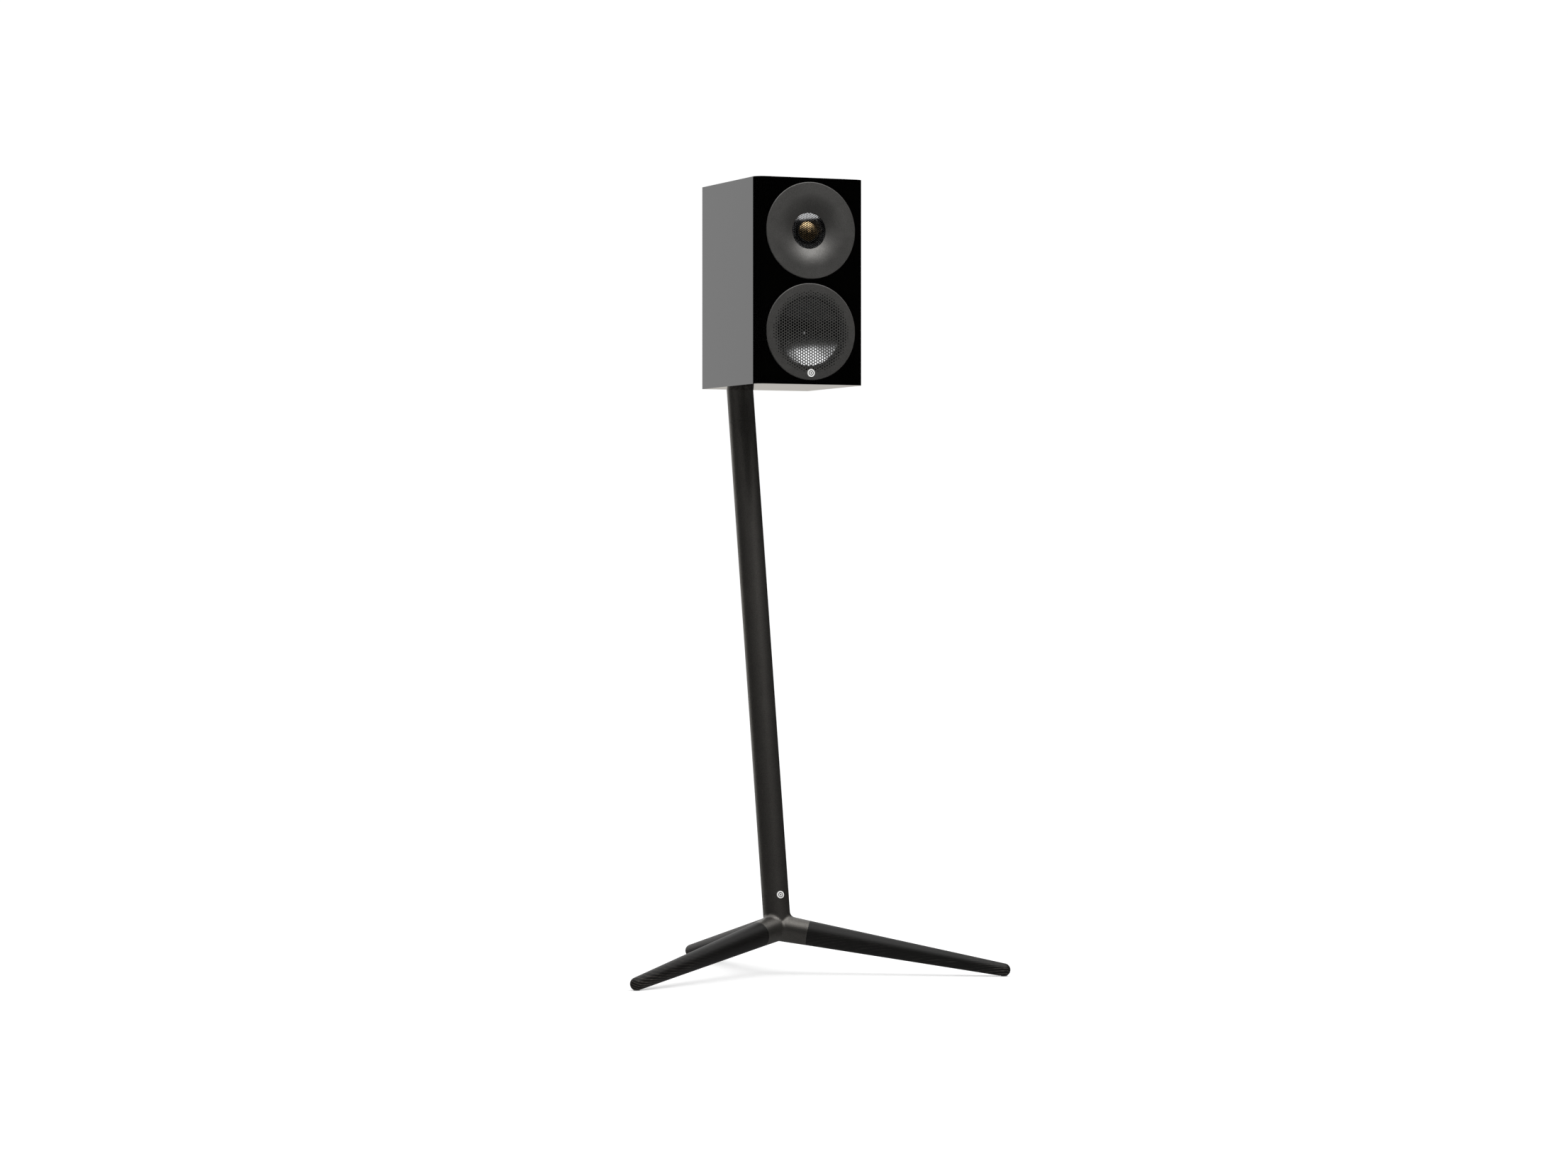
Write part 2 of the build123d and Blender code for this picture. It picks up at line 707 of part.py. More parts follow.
surround_front = ledge_depth - surround_t
surround_outer_r = ledge_r - seat_fit
surround_leg = cone_edge_depth + cone_t - surround_front
with BuildPart() as woofer_surround:
    with BuildSketch(section(woofer_h)):
        with BuildLine():
            half_roll(
                surround_front,
                surround_t,
                cone_r,
                surround_outer_r - surround_lip,
                surround_outer_r,
                surround_leg,
            )
        make_face()
    revolve(axis=depth_axis(woofer_h))
save(woofer_surround, "woofer_surround")

former_out_r = woofer_coil_r + woofer_former_t
spider_waves = 4
spider_outer_r = spider_seat_r - seat_fit
wave = (spider_seat_r - spider_lip - former_out_r) / spider_waves
with BuildPart() as woofer_spider:
    with BuildSketch(section(woofer_h)):
        with BuildLine():
            for side in (0.0, spider_t):
                for i in range(spider_waves):
                    start_r = former_out_r + i * wave
                    bulge = wave / 4 if i % 2 else -wave / 4
                    ThreePointArc(
                        (spider_depth + side, start_r),
                        (spider_depth + side + bulge, start_r + wave / 2),
                        (spider_depth + side, start_r + wave),
                    )
            wave_end = former_out_r + spider_waves * wave
            Line((spider_depth, former_out_r), (spider_seat_depth, former_out_r))
            Polyline(
                (spider_depth, wave_end),
                (spider_depth, spider_outer_r),
                (spider_seat_depth, spider_outer_r),
                (spider_seat_depth, wave_end),
            )
        make_face()
    revolve(axis=depth_axis(woofer_h))
save(woofer_spider, "woofer_spider")

former_front = dish_apex + cone_t - sag(dish_sphere + cone_t, former_out_r) + touch_gap
coil_front = woofer_front_plate_depth - (woofer_coil_length - woofer_plate_t) / 2
with BuildPart() as woofer_voice_coil:
    with BuildSketch(face(former_front, woofer_h)):
        Circle(former_out_r)
        Circle(woofer_coil_r, mode=Mode.SUBTRACT)
    extrude(amount=-(coil_front + woofer_coil_length + former_tail - former_front))
    with BuildSketch(face(coil_front, woofer_h)):
        Circle(former_out_r + woofer_coil_t)
        Circle(former_out_r, mode=Mode.SUBTRACT)
    extrude(amount=-woofer_coil_length)
save(woofer_voice_coil, "woofer_voice_coil")

with BuildPart() as woofer_top_plate:
    with BuildSketch(face(woofer_front_plate_depth, woofer_h)):
        Circle(woofer_magnet_r)
        Circle(former_out_r + woofer_coil_t + woofer_gap_out, mode=Mode.SUBTRACT)
    extrude(amount=-woofer_plate_t)
save(woofer_top_plate, "woofer_top_plate")

woofer_magnet_depth = woofer_front_plate_depth + woofer_plate_t
woofer_yoke_depth = woofer_magnet_depth + woofer_magnet_t
with BuildPart() as woofer_magnet:
    with BuildSketch(face(woofer_magnet_depth, woofer_h)):
        Circle(woofer_magnet_r - woofer_magnet_inset)
        Circle(former_out_r + woofer_magnet_gap, mode=Mode.SUBTRACT)
    extrude(amount=-woofer_magnet_t)
save(woofer_magnet, "woofer_magnet")

with BuildPart() as woofer_back_plate:
    with BuildSketch(face(woofer_yoke_depth, woofer_h)):
        Circle(woofer_magnet_r - woofer_magnet_inset)
        Circle(woofer_vent_r, mode=Mode.SUBTRACT)
    extrude(amount=-woofer_plate_t)
    with BuildSketch(face(woofer_front_plate_depth, woofer_h)):
        Circle(woofer_coil_r - woofer_gap_in)
        Circle(woofer_vent_r, mode=Mode.SUBTRACT)
    extrude(amount=-(woofer_yoke_depth - woofer_front_plate_depth))
save(woofer_back_plate, "woofer_back_plate")

with BuildPart() as woofer_screws:
    with BuildSketch(face(ring_rebate + woofer_screw_head_t, woofer_h)):
        with PolarLocations(woofer_screw_circle_r, 4):
            Circle(woofer_screw_r)
    extrude(amount=-(baffle_t - ring_rebate - woofer_screw_head_t - blind_end_t - screw_tip_gap))
    with BuildSketch(face(ring_rebate + woofer_screw_head_t, woofer_h)):
        with PolarLocations(woofer_screw_circle_r, 4):
            Circle(woofer_screw_head_r - woofer_screw_head_fit)
            RegularPolygon(woofer_screw_r * hex_share, 6, mode=Mode.SUBTRACT)
    extrude(amount=woofer_screw_head_t)
save(woofer_screws, "woofer_screws")

grille_back = grille_t - ring_proud
grille_rim_end = ring_rebate - running_clearance
badge_centre = (0, -badge_drop)


def grille_hole(point):
    """Radius of the grille hole at a point: it shrinks in the outer rows."""
    r = hypot(*point)
    share = min(1.0, max(0.0, (r - grille_full_r) / (grille_holes_r - grille_full_r)))
    step = ceil(share * grille_hole_steps) / grille_hole_steps
    return grille_hole_r + (grille_small_hole_r - grille_hole_r) * step


grille_holes = {}
for point in hex_points(grille_pitch, grille_holes_r):
    if hypot(point[0], point[1] + badge_drop) > badge_r + grille_hole_r:
        grille_holes.setdefault(grille_hole(point), []).append(point)

with BuildPart() as woofer_grille:
    with BuildSketch(face(-ring_proud, woofer_h)):
        Circle(ring_r)
    extrude(amount=-grille_t)
    with BuildSketch(face(grille_back, woofer_h)):
        Circle(ring_r)
        Circle(ring_r - grille_rim_t, mode=Mode.SUBTRACT)
    extrude(amount=-(grille_rim_end - grille_back))
    fillet(woofer_grille.edges().group_by(Axis.Y)[0], rim_round)
    with BuildSketch(face(-ring_proud, woofer_h)):
        for hole_r, points in grille_holes.items():
            with Locations(*points):
                Circle(hole_r)
        with Locations(badge_centre):
            Circle(badge_stem_r)
    extrude(amount=-grille_t, mode=Mode.SUBTRACT)
save(woofer_grille, "woofer_grille")

with BuildPart() as grille_badge:
    with BuildSketch(face(-ring_proud, woofer_h - badge_drop)):
        Circle(badge_r)
    extrude(amount=badge_t)
    fillet(grille_badge.edges().group_by(Axis.Y)[0], badge_round)
    with BuildSketch(face(-ring_proud, woofer_h - badge_drop)):
        Circle(badge_stem_r)
    extrude(amount=-grille_t)
save(grille_badge, "grille_badge")

with BuildPart() as grille_magnets:
    with BuildSketch(face(grille_back + running_clearance, woofer_h)):
        with PolarLocations(woofer_screw_circle_r, 4, start_angle=45):
            Circle(magnet_pin_r)
    extrude(amount=-(ring_rebate + woofer_screw_head_t - grille_back - running_clearance))
save(grille_magnets, "grille_magnets")

# ================================================================ back of the cabinet
with BuildPart() as port_tube:
    with BuildSketch(section(port_h)):
        with BuildLine():
            mouth_r = port_r + port_flare_r
            flare_end = cabinet_depth - port_flare_r
            outer_r = port_r + port_wall
            tube_front = cabinet_depth - port_length
            Polyline(
                (cabinet_depth, mouth_r),
                (cabinet_depth, port_flange_r),
                (cabinet_depth - port_flange_t, port_flange_r),
                (cabinet_depth - port_flange_t, port_body_r),
                (rear_depth, port_body_r),
                (rear_depth, outer_r),
                (tube_front, outer_r),
                (tube_front, port_r),
                (flare_end, port_r),
            )
            lift = port_flare_r * (1 - cos(radians(45)))
            ThreePointArc(
                (flare_end, port_r),
                (cabinet_depth - lift, port_r + lift),
                (cabinet_depth, mouth_r),
            )
        make_face()
    revolve(axis=depth_axis(port_h))
save(port_tube, "port_tube")

plate_front = cabinet_depth - port_flange_t  # floor of the rebate for the plate
plate_back_y = plate_front + terminal_plate_t
post_x = terminal_spacing / 2

with BuildPart() as terminal_plate:
    with BuildSketch(face(plate_front, terminal_h)):
        RectangleRounded(terminal_plate_w, terminal_plate_h, terminal_corner_r)
        with GridLocations(terminal_screw_dx, terminal_screw_dz, 2, 2):
            Circle(terminal_screw_r, mode=Mode.SUBTRACT)
        with Locations((-post_x, 0), (post_x, 0)):
            Circle(post_r, mode=Mode.SUBTRACT)
    extrude(amount=-terminal_plate_t)
save(terminal_plate, "terminal_plate")

with BuildPart() as terminal_screws:
    with BuildSketch(face(plate_back_y, terminal_h)):
        with GridLocations(terminal_screw_dx, terminal_screw_dz, 2, 2):
            Circle(terminal_screw_r)
    extrude(amount=terminal_plate_t + rear_t - port_flange_t - 2 * blind_end_t)
    with BuildSketch(face(plate_back_y, terminal_h)):
        with GridLocations(terminal_screw_dx, terminal_screw_dz, 2, 2):
            Circle(2 * terminal_screw_r)
            RegularPolygon(terminal_screw_r * hex_share, 6, mode=Mode.SUBTRACT)
    extrude(amount=-terminal_screw_head_t)
save(terminal_screws, "terminal_screws")

with BuildPart() as terminal_posts:
    with BuildSketch(face(plate_front - post_tail, terminal_h)):
        with Locations((-post_x, 0), (post_x, 0)):
            Circle(post_r)
    extrude(amount=-(post_tail + terminal_plate_t + post_length))
    with BuildSketch(face(plate_back_y + post_length, terminal_h)):
        with Locations((-post_x, 0), (post_x, 0)):
            Circle(socket_r)
    extrude(amount=socket_length, mode=Mode.SUBTRACT)
save(terminal_posts, "terminal_posts")

with BuildPart() as terminal_collars:
    with BuildSketch(face(plate_back_y, terminal_h)):
        with Locations((-post_x, 0), (post_x, 0)):
            Circle(collar_r)
            Circle(post_r, mode=Mode.SUBTRACT)
    extrude(amount=-collar_t)
save(terminal_collars, "terminal_collars")

with BuildPart() as terminal_nuts:
    with BuildSketch(face(plate_front, terminal_h)):
        with Locations((-post_x, 0), (post_x, 0)):
            RegularPolygon(terminal_nut_r, 6)
            Circle(post_r, mode=Mode.SUBTRACT)
    extrude(amount=terminal_nut_t)
save(terminal_nuts, "terminal_nuts")

washer_y = plate_back_y + collar_t
knob_y = washer_y + washer_t
sides = {"positive": post_x, "negative": -post_x}

for side, x in sides.items():
    with BuildPart() as clamp_washer:
        with BuildSketch(face(washer_y, terminal_h, x)):
            Circle(washer_r)
            Circle(post_r + running_clearance, mode=Mode.SUBTRACT)
        extrude(amount=-washer_t)
    save(clamp_washer, f"clamp_washer_{side}")

    with BuildPart() as knob:
        with BuildSketch(face(knob_y, terminal_h, x)):
            Circle(knob_r)
            with PolarLocations(knob_r, knob_flutes):
                Circle(knob_flute_r, mode=Mode.SUBTRACT)
        extrude(amount=-knob_length)
        with BuildSketch(face(knob_y, terminal_h, x)):
            Circle(post_r + running_clearance)
        extrude(amount=-knob_length, mode=Mode.SUBTRACT)
    save(knob, f"knob_{side}")

# ================================================================ crossover
board_x = -inner_w + board_gap
board_front = rear_depth - board_from_back - board_w
board_bottom = wall + board_from_bottom
part_x = board_x + board_t  # the face that carries the components
standoff_inset = 6.0
coil_r = 15.0
coil_length = 20.0
small_coil_r = 11.0
small_coil_length = 14.0
coil_edge = 2.0  # large coil to the board's lower edge
coil_depth = board_front + coil_r + 11.0
small_depth = board_front + board_w - small_coil_r - 12.0
capacitor_r = 8.0
capacitor_length = 32.0
capacitor_edge = 22.0
capacitor_pitch = 2.6 * capacitor_r
resistor_depth = board_front + board_w - resistor_pitch
resistor_rise = 14.0  # above the middle of the board

with BuildPart() as crossover_board:
    with BuildSketch(side_face(board_x, board_front + board_w / 2, board_bottom + board_h / 2)):
        Rectangle(board_w, board_h)
        with GridLocations(board_w - 2 * standoff_inset, board_h - 2 * standoff_inset, 2, 2):
            Circle(standoff_pin_r, mode=Mode.SUBTRACT)
    extrude(amount=board_t)
save(crossover_board, "crossover_board")

with BuildPart() as crossover_standoffs:
    with BuildSketch(side_face(-inner_w, board_front + board_w / 2, board_bottom + board_h / 2)):
        with GridLocations(board_w - 2 * standoff_inset, board_h - 2 * standoff_inset, 2, 2):
            Circle(standoff_r)
    extrude(amount=board_gap)
    with BuildSketch(side_face(board_x, board_front + board_w / 2, board_bottom + board_h / 2)):
        with GridLocations(board_w - 2 * standoff_inset, board_h - 2 * standoff_inset, 2, 2):
            Circle(standoff_pin_r)
    extrude(amount=board_t + standoff_pin_over)
save(crossover_standoffs, "crossover_standoffs")

with BuildPart() as crossover_inductors:
    with BuildSketch(side_face(part_x, coil_depth, board_bottom + coil_r + coil_edge)):
        Circle(coil_r)
        Circle(coil_r * coil_bore_share, mode=Mode.SUBTRACT)
    extrude(amount=coil_length)
    with BuildSketch(side_face(part_x, small_depth, board_bottom + small_coil_r + 2 * coil_edge)):
        Circle(small_coil_r)
        Circle(small_coil_r * coil_bore_share, mode=Mode.SUBTRACT)
    extrude(amount=small_coil_length)
save(crossover_inductors, "crossover_inductors")

with BuildPart() as crossover_capacitors:
    can_bottom = Plane.XY.offset(cabinet_base_z + board_bottom + board_h / 2)
    first_y = front_y + board_front + capacitor_edge
    with BuildSketch(can_bottom):
        with Locations(
            (part_x + capacitor_r, first_y), (part_x + capacitor_r, first_y + capacitor_pitch)
        ):
            Circle(capacitor_r)
    extrude(amount=capacitor_length)
save(crossover_capacitors, "crossover_capacitors")

with BuildPart() as crossover_resistors:
    with BuildSketch(side_face(part_x, resistor_depth, board_bottom + board_h / 2 + resistor_rise)):
        with GridLocations(0, resistor_pitch, 1, 2):
            Rectangle(resistor_w, resistor_h)
    extrude(amount=resistor_t)
save(crossover_resistors, "crossover_resistors")

# Internal wiring.  Each route is a list of (x, depth, height) corners, from one fixed end to
# the other, and every corner is a tangent arc.
post_end = plate_front - post_tail - touch_gap
board_top = board_bottom + board_h
board_end_x = part_x + touch_gap
wire_gap = 4.0
lane = 6.0  # between the two wires of a pair where they run side by side
window_x = inner_w - brace_rail - wire_gap
negative_depth = post_end - 30.0
positive_depth = negative_depth - 9.0
near_edge = board_front + wire_gap
woofer_wire_x = board_end_x + 2 * wire_gap
tweeter_tag_x = 2 * wire_gap
cup_back = tweeter_cup_depth + tweeter_cup_length + touch_gap
basket_side = basket_neck_r + touch_gap
tag_depth = woofer_front_plate_depth - wire_gap
tweeter_turn = cup_back + 25.0

wire_routes = {
    "input_negative": [
        (-post_x, post_end, terminal_h),
        (-post_x, negative_depth, terminal_h),
        (-window_x, negative_depth, terminal_h),
        (-window_x, negative_depth, board_top - wire_gap),
        (board_end_x, negative_depth, board_top - wire_gap),
    ],
    "input_positive": [
        (post_x, post_end, terminal_h),
        (post_x, positive_depth, terminal_h),
        (lane - window_x, positive_depth, terminal_h),
        (lane - window_x, positive_depth, board_top - wire_gap),
        (board_end_x, positive_depth, board_top - wire_gap),
    ],
    "woofer_positive": [
        (board_end_x, near_edge, woofer_h + wire_gap),
        (woofer_wire_x, near_edge, woofer_h + wire_gap),
        (woofer_wire_x, tag_depth, woofer_h + wire_gap),
        (-basket_side, tag_depth, woofer_h + wire_gap),
    ],
    "woofer_negative": [
        (board_end_x, near_edge, woofer_h - wire_gap),
        (woofer_wire_x, near_edge, woofer_h - wire_gap),
        (woofer_wire_x, tag_depth, woofer_h - wire_gap),
        (-basket_side, tag_depth, woofer_h - wire_gap),
    ],
    "tweeter_positive": [
        (board_end_x, near_edge + lane, board_top - wire_gap),
        (-window_x, near_edge + lane, board_top - wire_gap),
        (-window_x, tweeter_turn, tweeter_h - lane),
        (-tweeter_tag_x, tweeter_turn, tweeter_h - lane),
        (-tweeter_tag_x, cup_back, tweeter_h - lane),
    ],
    "tweeter_negative": [
        (board_end_x, near_edge + 2 * lane, board_top - wire_gap),
        (lane - window_x, near_edge + 2 * lane, board_top - wire_gap),
        (lane - window_x, tweeter_turn + lane, tweeter_h),
        (tweeter_tag_x, tweeter_turn + lane, tweeter_h),
        (tweeter_tag_x, cup_back, tweeter_h),
    ],
}


def cabinet_point(x, depth, height):
    """A point given from the middle of the baffle's lower front edge."""
    return (x, front_y + depth, cabinet_base_z + height)


with BuildPart() as internal_wires:
    for route in wire_routes.values():
        corners = [cabinet_point(*corner) for corner in route]
        runs = [(Vector(*b) - Vector(*a)).length for a, b in zip(corners, corners[1:])]
        bend_r = min(wire_bend_r, 0.9 * runs[0], 0.9 * runs[-1])
        with BuildLine() as route_line:
            FilletPolyline(*corners, radius=bend_r)
        start = Plane(origin=corners[0], z_dir=(Vector(*corners[1]) - Vector(*corners[0])))
        with BuildSketch(start):
            Circle(wire_r)
        sweep(path=route_line.wires()[0])
save(internal_wires, "internal_wires")

# ================================================================ stand
hub_centre = Vector(0, hub_y, hub_z)
pole_dir = Vector(0, sin(radians(lean)), cos(radians(lean)))
pole_front = Vector(0, -cos(radians(lean)), sin(radians(lean)))
leg_angles = {"front_left": 210.0, "front_right": -30.0, "rear": 90.0}
tip_distance = leg_reach / cos(radians(lean))
tube_start = arm_length
tube_end = (cabinet_base_z - head_seam_drop - hub_z) / cos(radians(lean))
elbow_z = cabinet_base_z + bracket_centre_h
elbow_distance = (elbow_z - hub_z) / cos(radians(lean))
elbow_y = hub_y + (elbow_z - hub_z) * slope
spigot_r = pole_r - pole_wall - spigot_fit


def leg_dir(angle):
    """Direction of a leg's axis, outwards and down."""
    flat = cos(radians(lean))
    return Vector(flat * cos(radians(angle)), flat * sin(radians(angle)), -sin(radians(lean)))


def leg_plane(angle, distance):
    """Plane square to a leg's axis."""
    return Plane(origin=hub_centre + leg_dir(angle) * distance, z_dir=leg_dir(angle))


def leg_section(angle):
    """Plane through a leg's axis: local x runs along it from the hub centre."""
    across = Vector(sin(radians(angle)), -cos(radians(angle)), 0)
    return Plane(origin=hub_centre, x_dir=leg_dir(angle), z_dir=across)


def pole_plane(distance):
    """Plane square to the pole, at a distance along it from the hub centre."""
    return Plane(origin=hub_centre + pole_dir * distance, x_dir=(1, 0, 0), z_dir=pole_dir)


def badge_plane(from_axis):
    """Plane facing the listener at the lower seam, at a distance from the pole's axis."""
    origin = hub_centre + pole_dir * tube_start + pole_front * from_axis
    return Plane(origin=origin, x_dir=(1, 0, 0), z_dir=pole_front)


def set_screw_plane(distance):
    """Plane facing the listener, tangent to the back of the pole."""
    origin = hub_centre + pole_dir * distance - pole_front * pole_r
    return Plane(origin=origin, x_dir=(1, 0, 0), z_dir=pole_front)


badge_floor = pole_r - hub_badge_depth
lower_set_screw = tube_start + spigot_length / 2
upper_set_screw = tube_end - spigot_length / 2

with BuildPart() as stand_hub:
    with BuildSketch(pole_plane(0)):
        Circle(pole_r)
    extrude(amount=arm_length)
    for angle in leg_angles.values():
        with BuildSketch(leg_section(angle)):
            with BuildLine():
                Polyline((0, 0), (0, pole_r), (arm_length, leg_root_r), (arm_length, 0), close=True)
            make_face()
        revolve(axis=Axis(tuple(hub_centre), tuple(leg_dir(angle))))
    fillet(stand_hub.edges().filter_by(GeomType.BSPLINE), hub_fillet_r)
    with BuildSketch(pole_plane(arm_length)):
        Circle(spigot_r)
    extrude(amount=spigot_length)
    chamfer(stand_hub.edges().group_by(Axis.Z)[-1], spigot_chamfer)
    for angle in leg_angles.values():
        with BuildSketch(leg_plane(angle, arm_length)):
            Circle(stud_r)
        extrude(amount=-stud_in_hub, mode=Mode.SUBTRACT)
    with BuildSketch(badge_plane(badge_floor)):
        Circle(hub_badge_recess_r)
    extrude(amount=3 * hub_badge_depth, mode=Mode.SUBTRACT)
    with BuildSketch(set_screw_plane(lower_set_screw)):
        Circle(set_screw_r)
    extrude(amount=set_screw_sink + set_screw_length, mode=Mode.SUBTRACT)
save(stand_hub, "stand_hub")

with BuildPart() as pole_tube:
    with BuildSketch(pole_plane(tube_start)):
        Circle(pole_r)
    extrude(amount=tube_end - tube_start)
    chamfer(pole_tube.edges().filter_by(GeomType.CIRCLE), seam_chamfer)
    with BuildSketch(pole_plane(tube_start)):
        Circle(pole_r - pole_wall)
    extrude(amount=tube_end - tube_start, mode=Mode.SUBTRACT)
    with BuildSketch(badge_plane(badge_floor)):
        Circle(hub_badge_recess_r)
    extrude(amount=3 * hub_badge_depth, mode=Mode.SUBTRACT)
    for distance in (lower_set_screw, upper_set_screw):
        with BuildSketch(set_screw_plane(distance)):
            Circle(set_screw_r)
        extrude(amount=pole_r / 2, mode=Mode.SUBTRACT)
save(pole_tube, "pole_tube")

with BuildPart() as hub_badge:
    with BuildSketch(badge_plane(badge_floor)):
        Circle(hub_badge_r)
    extrude(amount=hub_badge_depth)
    fillet(hub_badge.edges().sort_by(Axis.Y)[0], badge_round)
save(hub_badge, "hub_badge")

bracket_back = cabinet_depth + bracket_t
elbow_depth = elbow_y - front_y
with BuildPart() as pole_head:
    with BuildSketch(pole_plane(tube_end)):
        Circle(pole_r)
    extrude(amount=elbow_distance - tube_end)
    with Locations((0, elbow_y, elbow_z)):
        Sphere(pole_r)
    with BuildSketch(face(elbow_depth, bracket_centre_h)):
        Circle(neck_r)
    extrude(amount=elbow_depth - bracket_back + neck_overlap)
    with BuildSketch(face(cabinet_depth, bracket_centre_h)):
        RectangleRounded(bracket_w, bracket_h, bracket_corner_r)
    extrude(amount=-bracket_t)
    neck_edge = pole_head.edges().filter_by(GeomType.CIRCLE)
    neck_edge = neck_edge.filter_by(lambda e: abs(e.radius - neck_r) < 0.01)
    fillet(neck_edge.sort_by(Axis.Y)[0], neck_fillet_r)
    with BuildSketch(pole_plane(tube_end)):
        Circle(spigot_r)
    extrude(amount=-spigot_length)
    with BuildSketch(face(cabinet_depth, bracket_centre_h)):
        with GridLocations(bracket_hole_dx, bracket_hole_dz, 2, 2):
            Circle(bracket_screw_r)
    extrude(amount=-bracket_t, mode=Mode.SUBTRACT)
    with BuildSketch(set_screw_plane(upper_set_screw)):
        Circle(set_screw_r)
    extrude(amount=set_screw_sink + set_screw_length, mode=Mode.SUBTRACT)
save(pole_head, "pole_head")

bracket_screw_length = bracket_t + rear_t + insert_flange_t
with BuildPart() as bracket_screws:
    with BuildSketch(face(bracket_back, bracket_centre_h)):
        with GridLocations(bracket_hole_dx, bracket_hole_dz, 2, 2):
            Circle(bracket_screw_r)
    extrude(amount=bracket_screw_length)
    with BuildSketch(face(bracket_back, bracket_centre_h)):
        with GridLocations(bracket_hole_dx, bracket_hole_dz, 2, 2):
            Circle(bracket_screw_head_r)
    extrude(amount=-bracket_screw_head_t)
    with BuildSketch(face(bracket_back + bracket_screw_head_t, bracket_centre_h)):
        with GridLocations(bracket_hole_dx, bracket_hole_dz, 2, 2):
            RegularPolygon(bracket_hex_r, 6)
    extrude(amount=bracket_screw_head_t - bracket_hex_floor, mode=Mode.SUBTRACT)
save(bracket_screws, "bracket_screws")

with BuildPart() as bracket_inserts:
    with BuildSketch(face(rear_depth, bracket_centre_h)):
        with GridLocations(bracket_hole_dx, bracket_hole_dz, 2, 2):
            Circle(insert_r)
    extrude(amount=-rear_t)
    with BuildSketch(face(rear_depth, bracket_centre_h)):
        with GridLocations(bracket_hole_dx, bracket_hole_dz, 2, 2):
            Circle(insert_flange_r)
    extrude(amount=insert_flange_t)
    with BuildSketch(face(cabinet_depth, bracket_centre_h)):
        with GridLocations(bracket_hole_dx, bracket_hole_dz, 2, 2):
            Circle(bracket_screw_r)
    extrude(amount=rear_t + insert_flange_t, mode=Mode.SUBTRACT)
save(bracket_inserts, "bracket_inserts")

for name, angle in leg_angles.items():
    tip = hub_centre + leg_dir(angle) * tip_distance
    with BuildPart() as leg:
        with BuildSketch(leg_section(angle)):
            with BuildLine():
                Polyline(
                    (tip_distance + leg_tip_r, 0),
                    (arm_length, 0),
                    (arm_length, leg_root_r),
                    (tip_distance, leg_tip_r),
                )
                ThreePointArc(
                    (tip_distance, leg_tip_r),
                    (tip_distance + leg_tip_r * cos(radians(45)), leg_tip_r * sin(radians(45))),
                    (tip_distance + leg_tip_r, 0),
                )
            make_face()
        revolve(axis=Axis(tuple(hub_centre), tuple(leg_dir(angle))))
        with BuildSketch(leg_plane(angle, arm_length)):
            Circle(stud_r)
        extrude(amount=stud_in_leg, mode=Mode.SUBTRACT)
        with BuildSketch(Plane.XY.offset(foot_pad_t)):
            with Locations((tip.X, tip.Y)):
                Circle(2 * leg_tip_r)
        extrude(amount=-2 * foot_pad_t, mode=Mode.SUBTRACT)
    save(leg, f"leg_{name}")

with BuildPart() as leg_studs:
    for angle in leg_angles.values():
        with BuildSketch(leg_plane(angle, arm_length - stud_in_hub)):
            Circle(stud_r)
        extrude(amount=stud_in_hub + stud_in_leg)
save(leg_studs, "leg_studs")

with BuildPart() as foot_pads:
    with BuildSketch(Plane.XY):
        for angle in leg_angles.values():
            tip = hub_centre + leg_dir(angle) * tip_distance
            with Locations((tip.X, tip.Y)):
                Circle(foot_pad_r)
    extrude(amount=foot_pad_t)
save(foot_pads, "foot_pads")

with BuildPart() as pole_set_screws:
    for distance in (lower_set_screw, upper_set_screw):
        with BuildSketch(set_screw_plane(distance)):
            Circle(set_screw_r)
        extrude(amount=set_screw_sink + set_screw_length)
        with BuildSketch(set_screw_plane(distance)):
            Circle(set_screw_r)
        extrude(amount=set_screw_sink, mode=Mode.SUBTRACT)
        with BuildSketch(set_screw_plane(distance)):
            RegularPolygon(set_screw_hex_r, 6)
        extrude(amount=set_screw_sink + set_screw_length / 2, mode=Mode.SUBTRACT)
save(pole_set_screws, "pole_set_screws")
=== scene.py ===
import json
import math

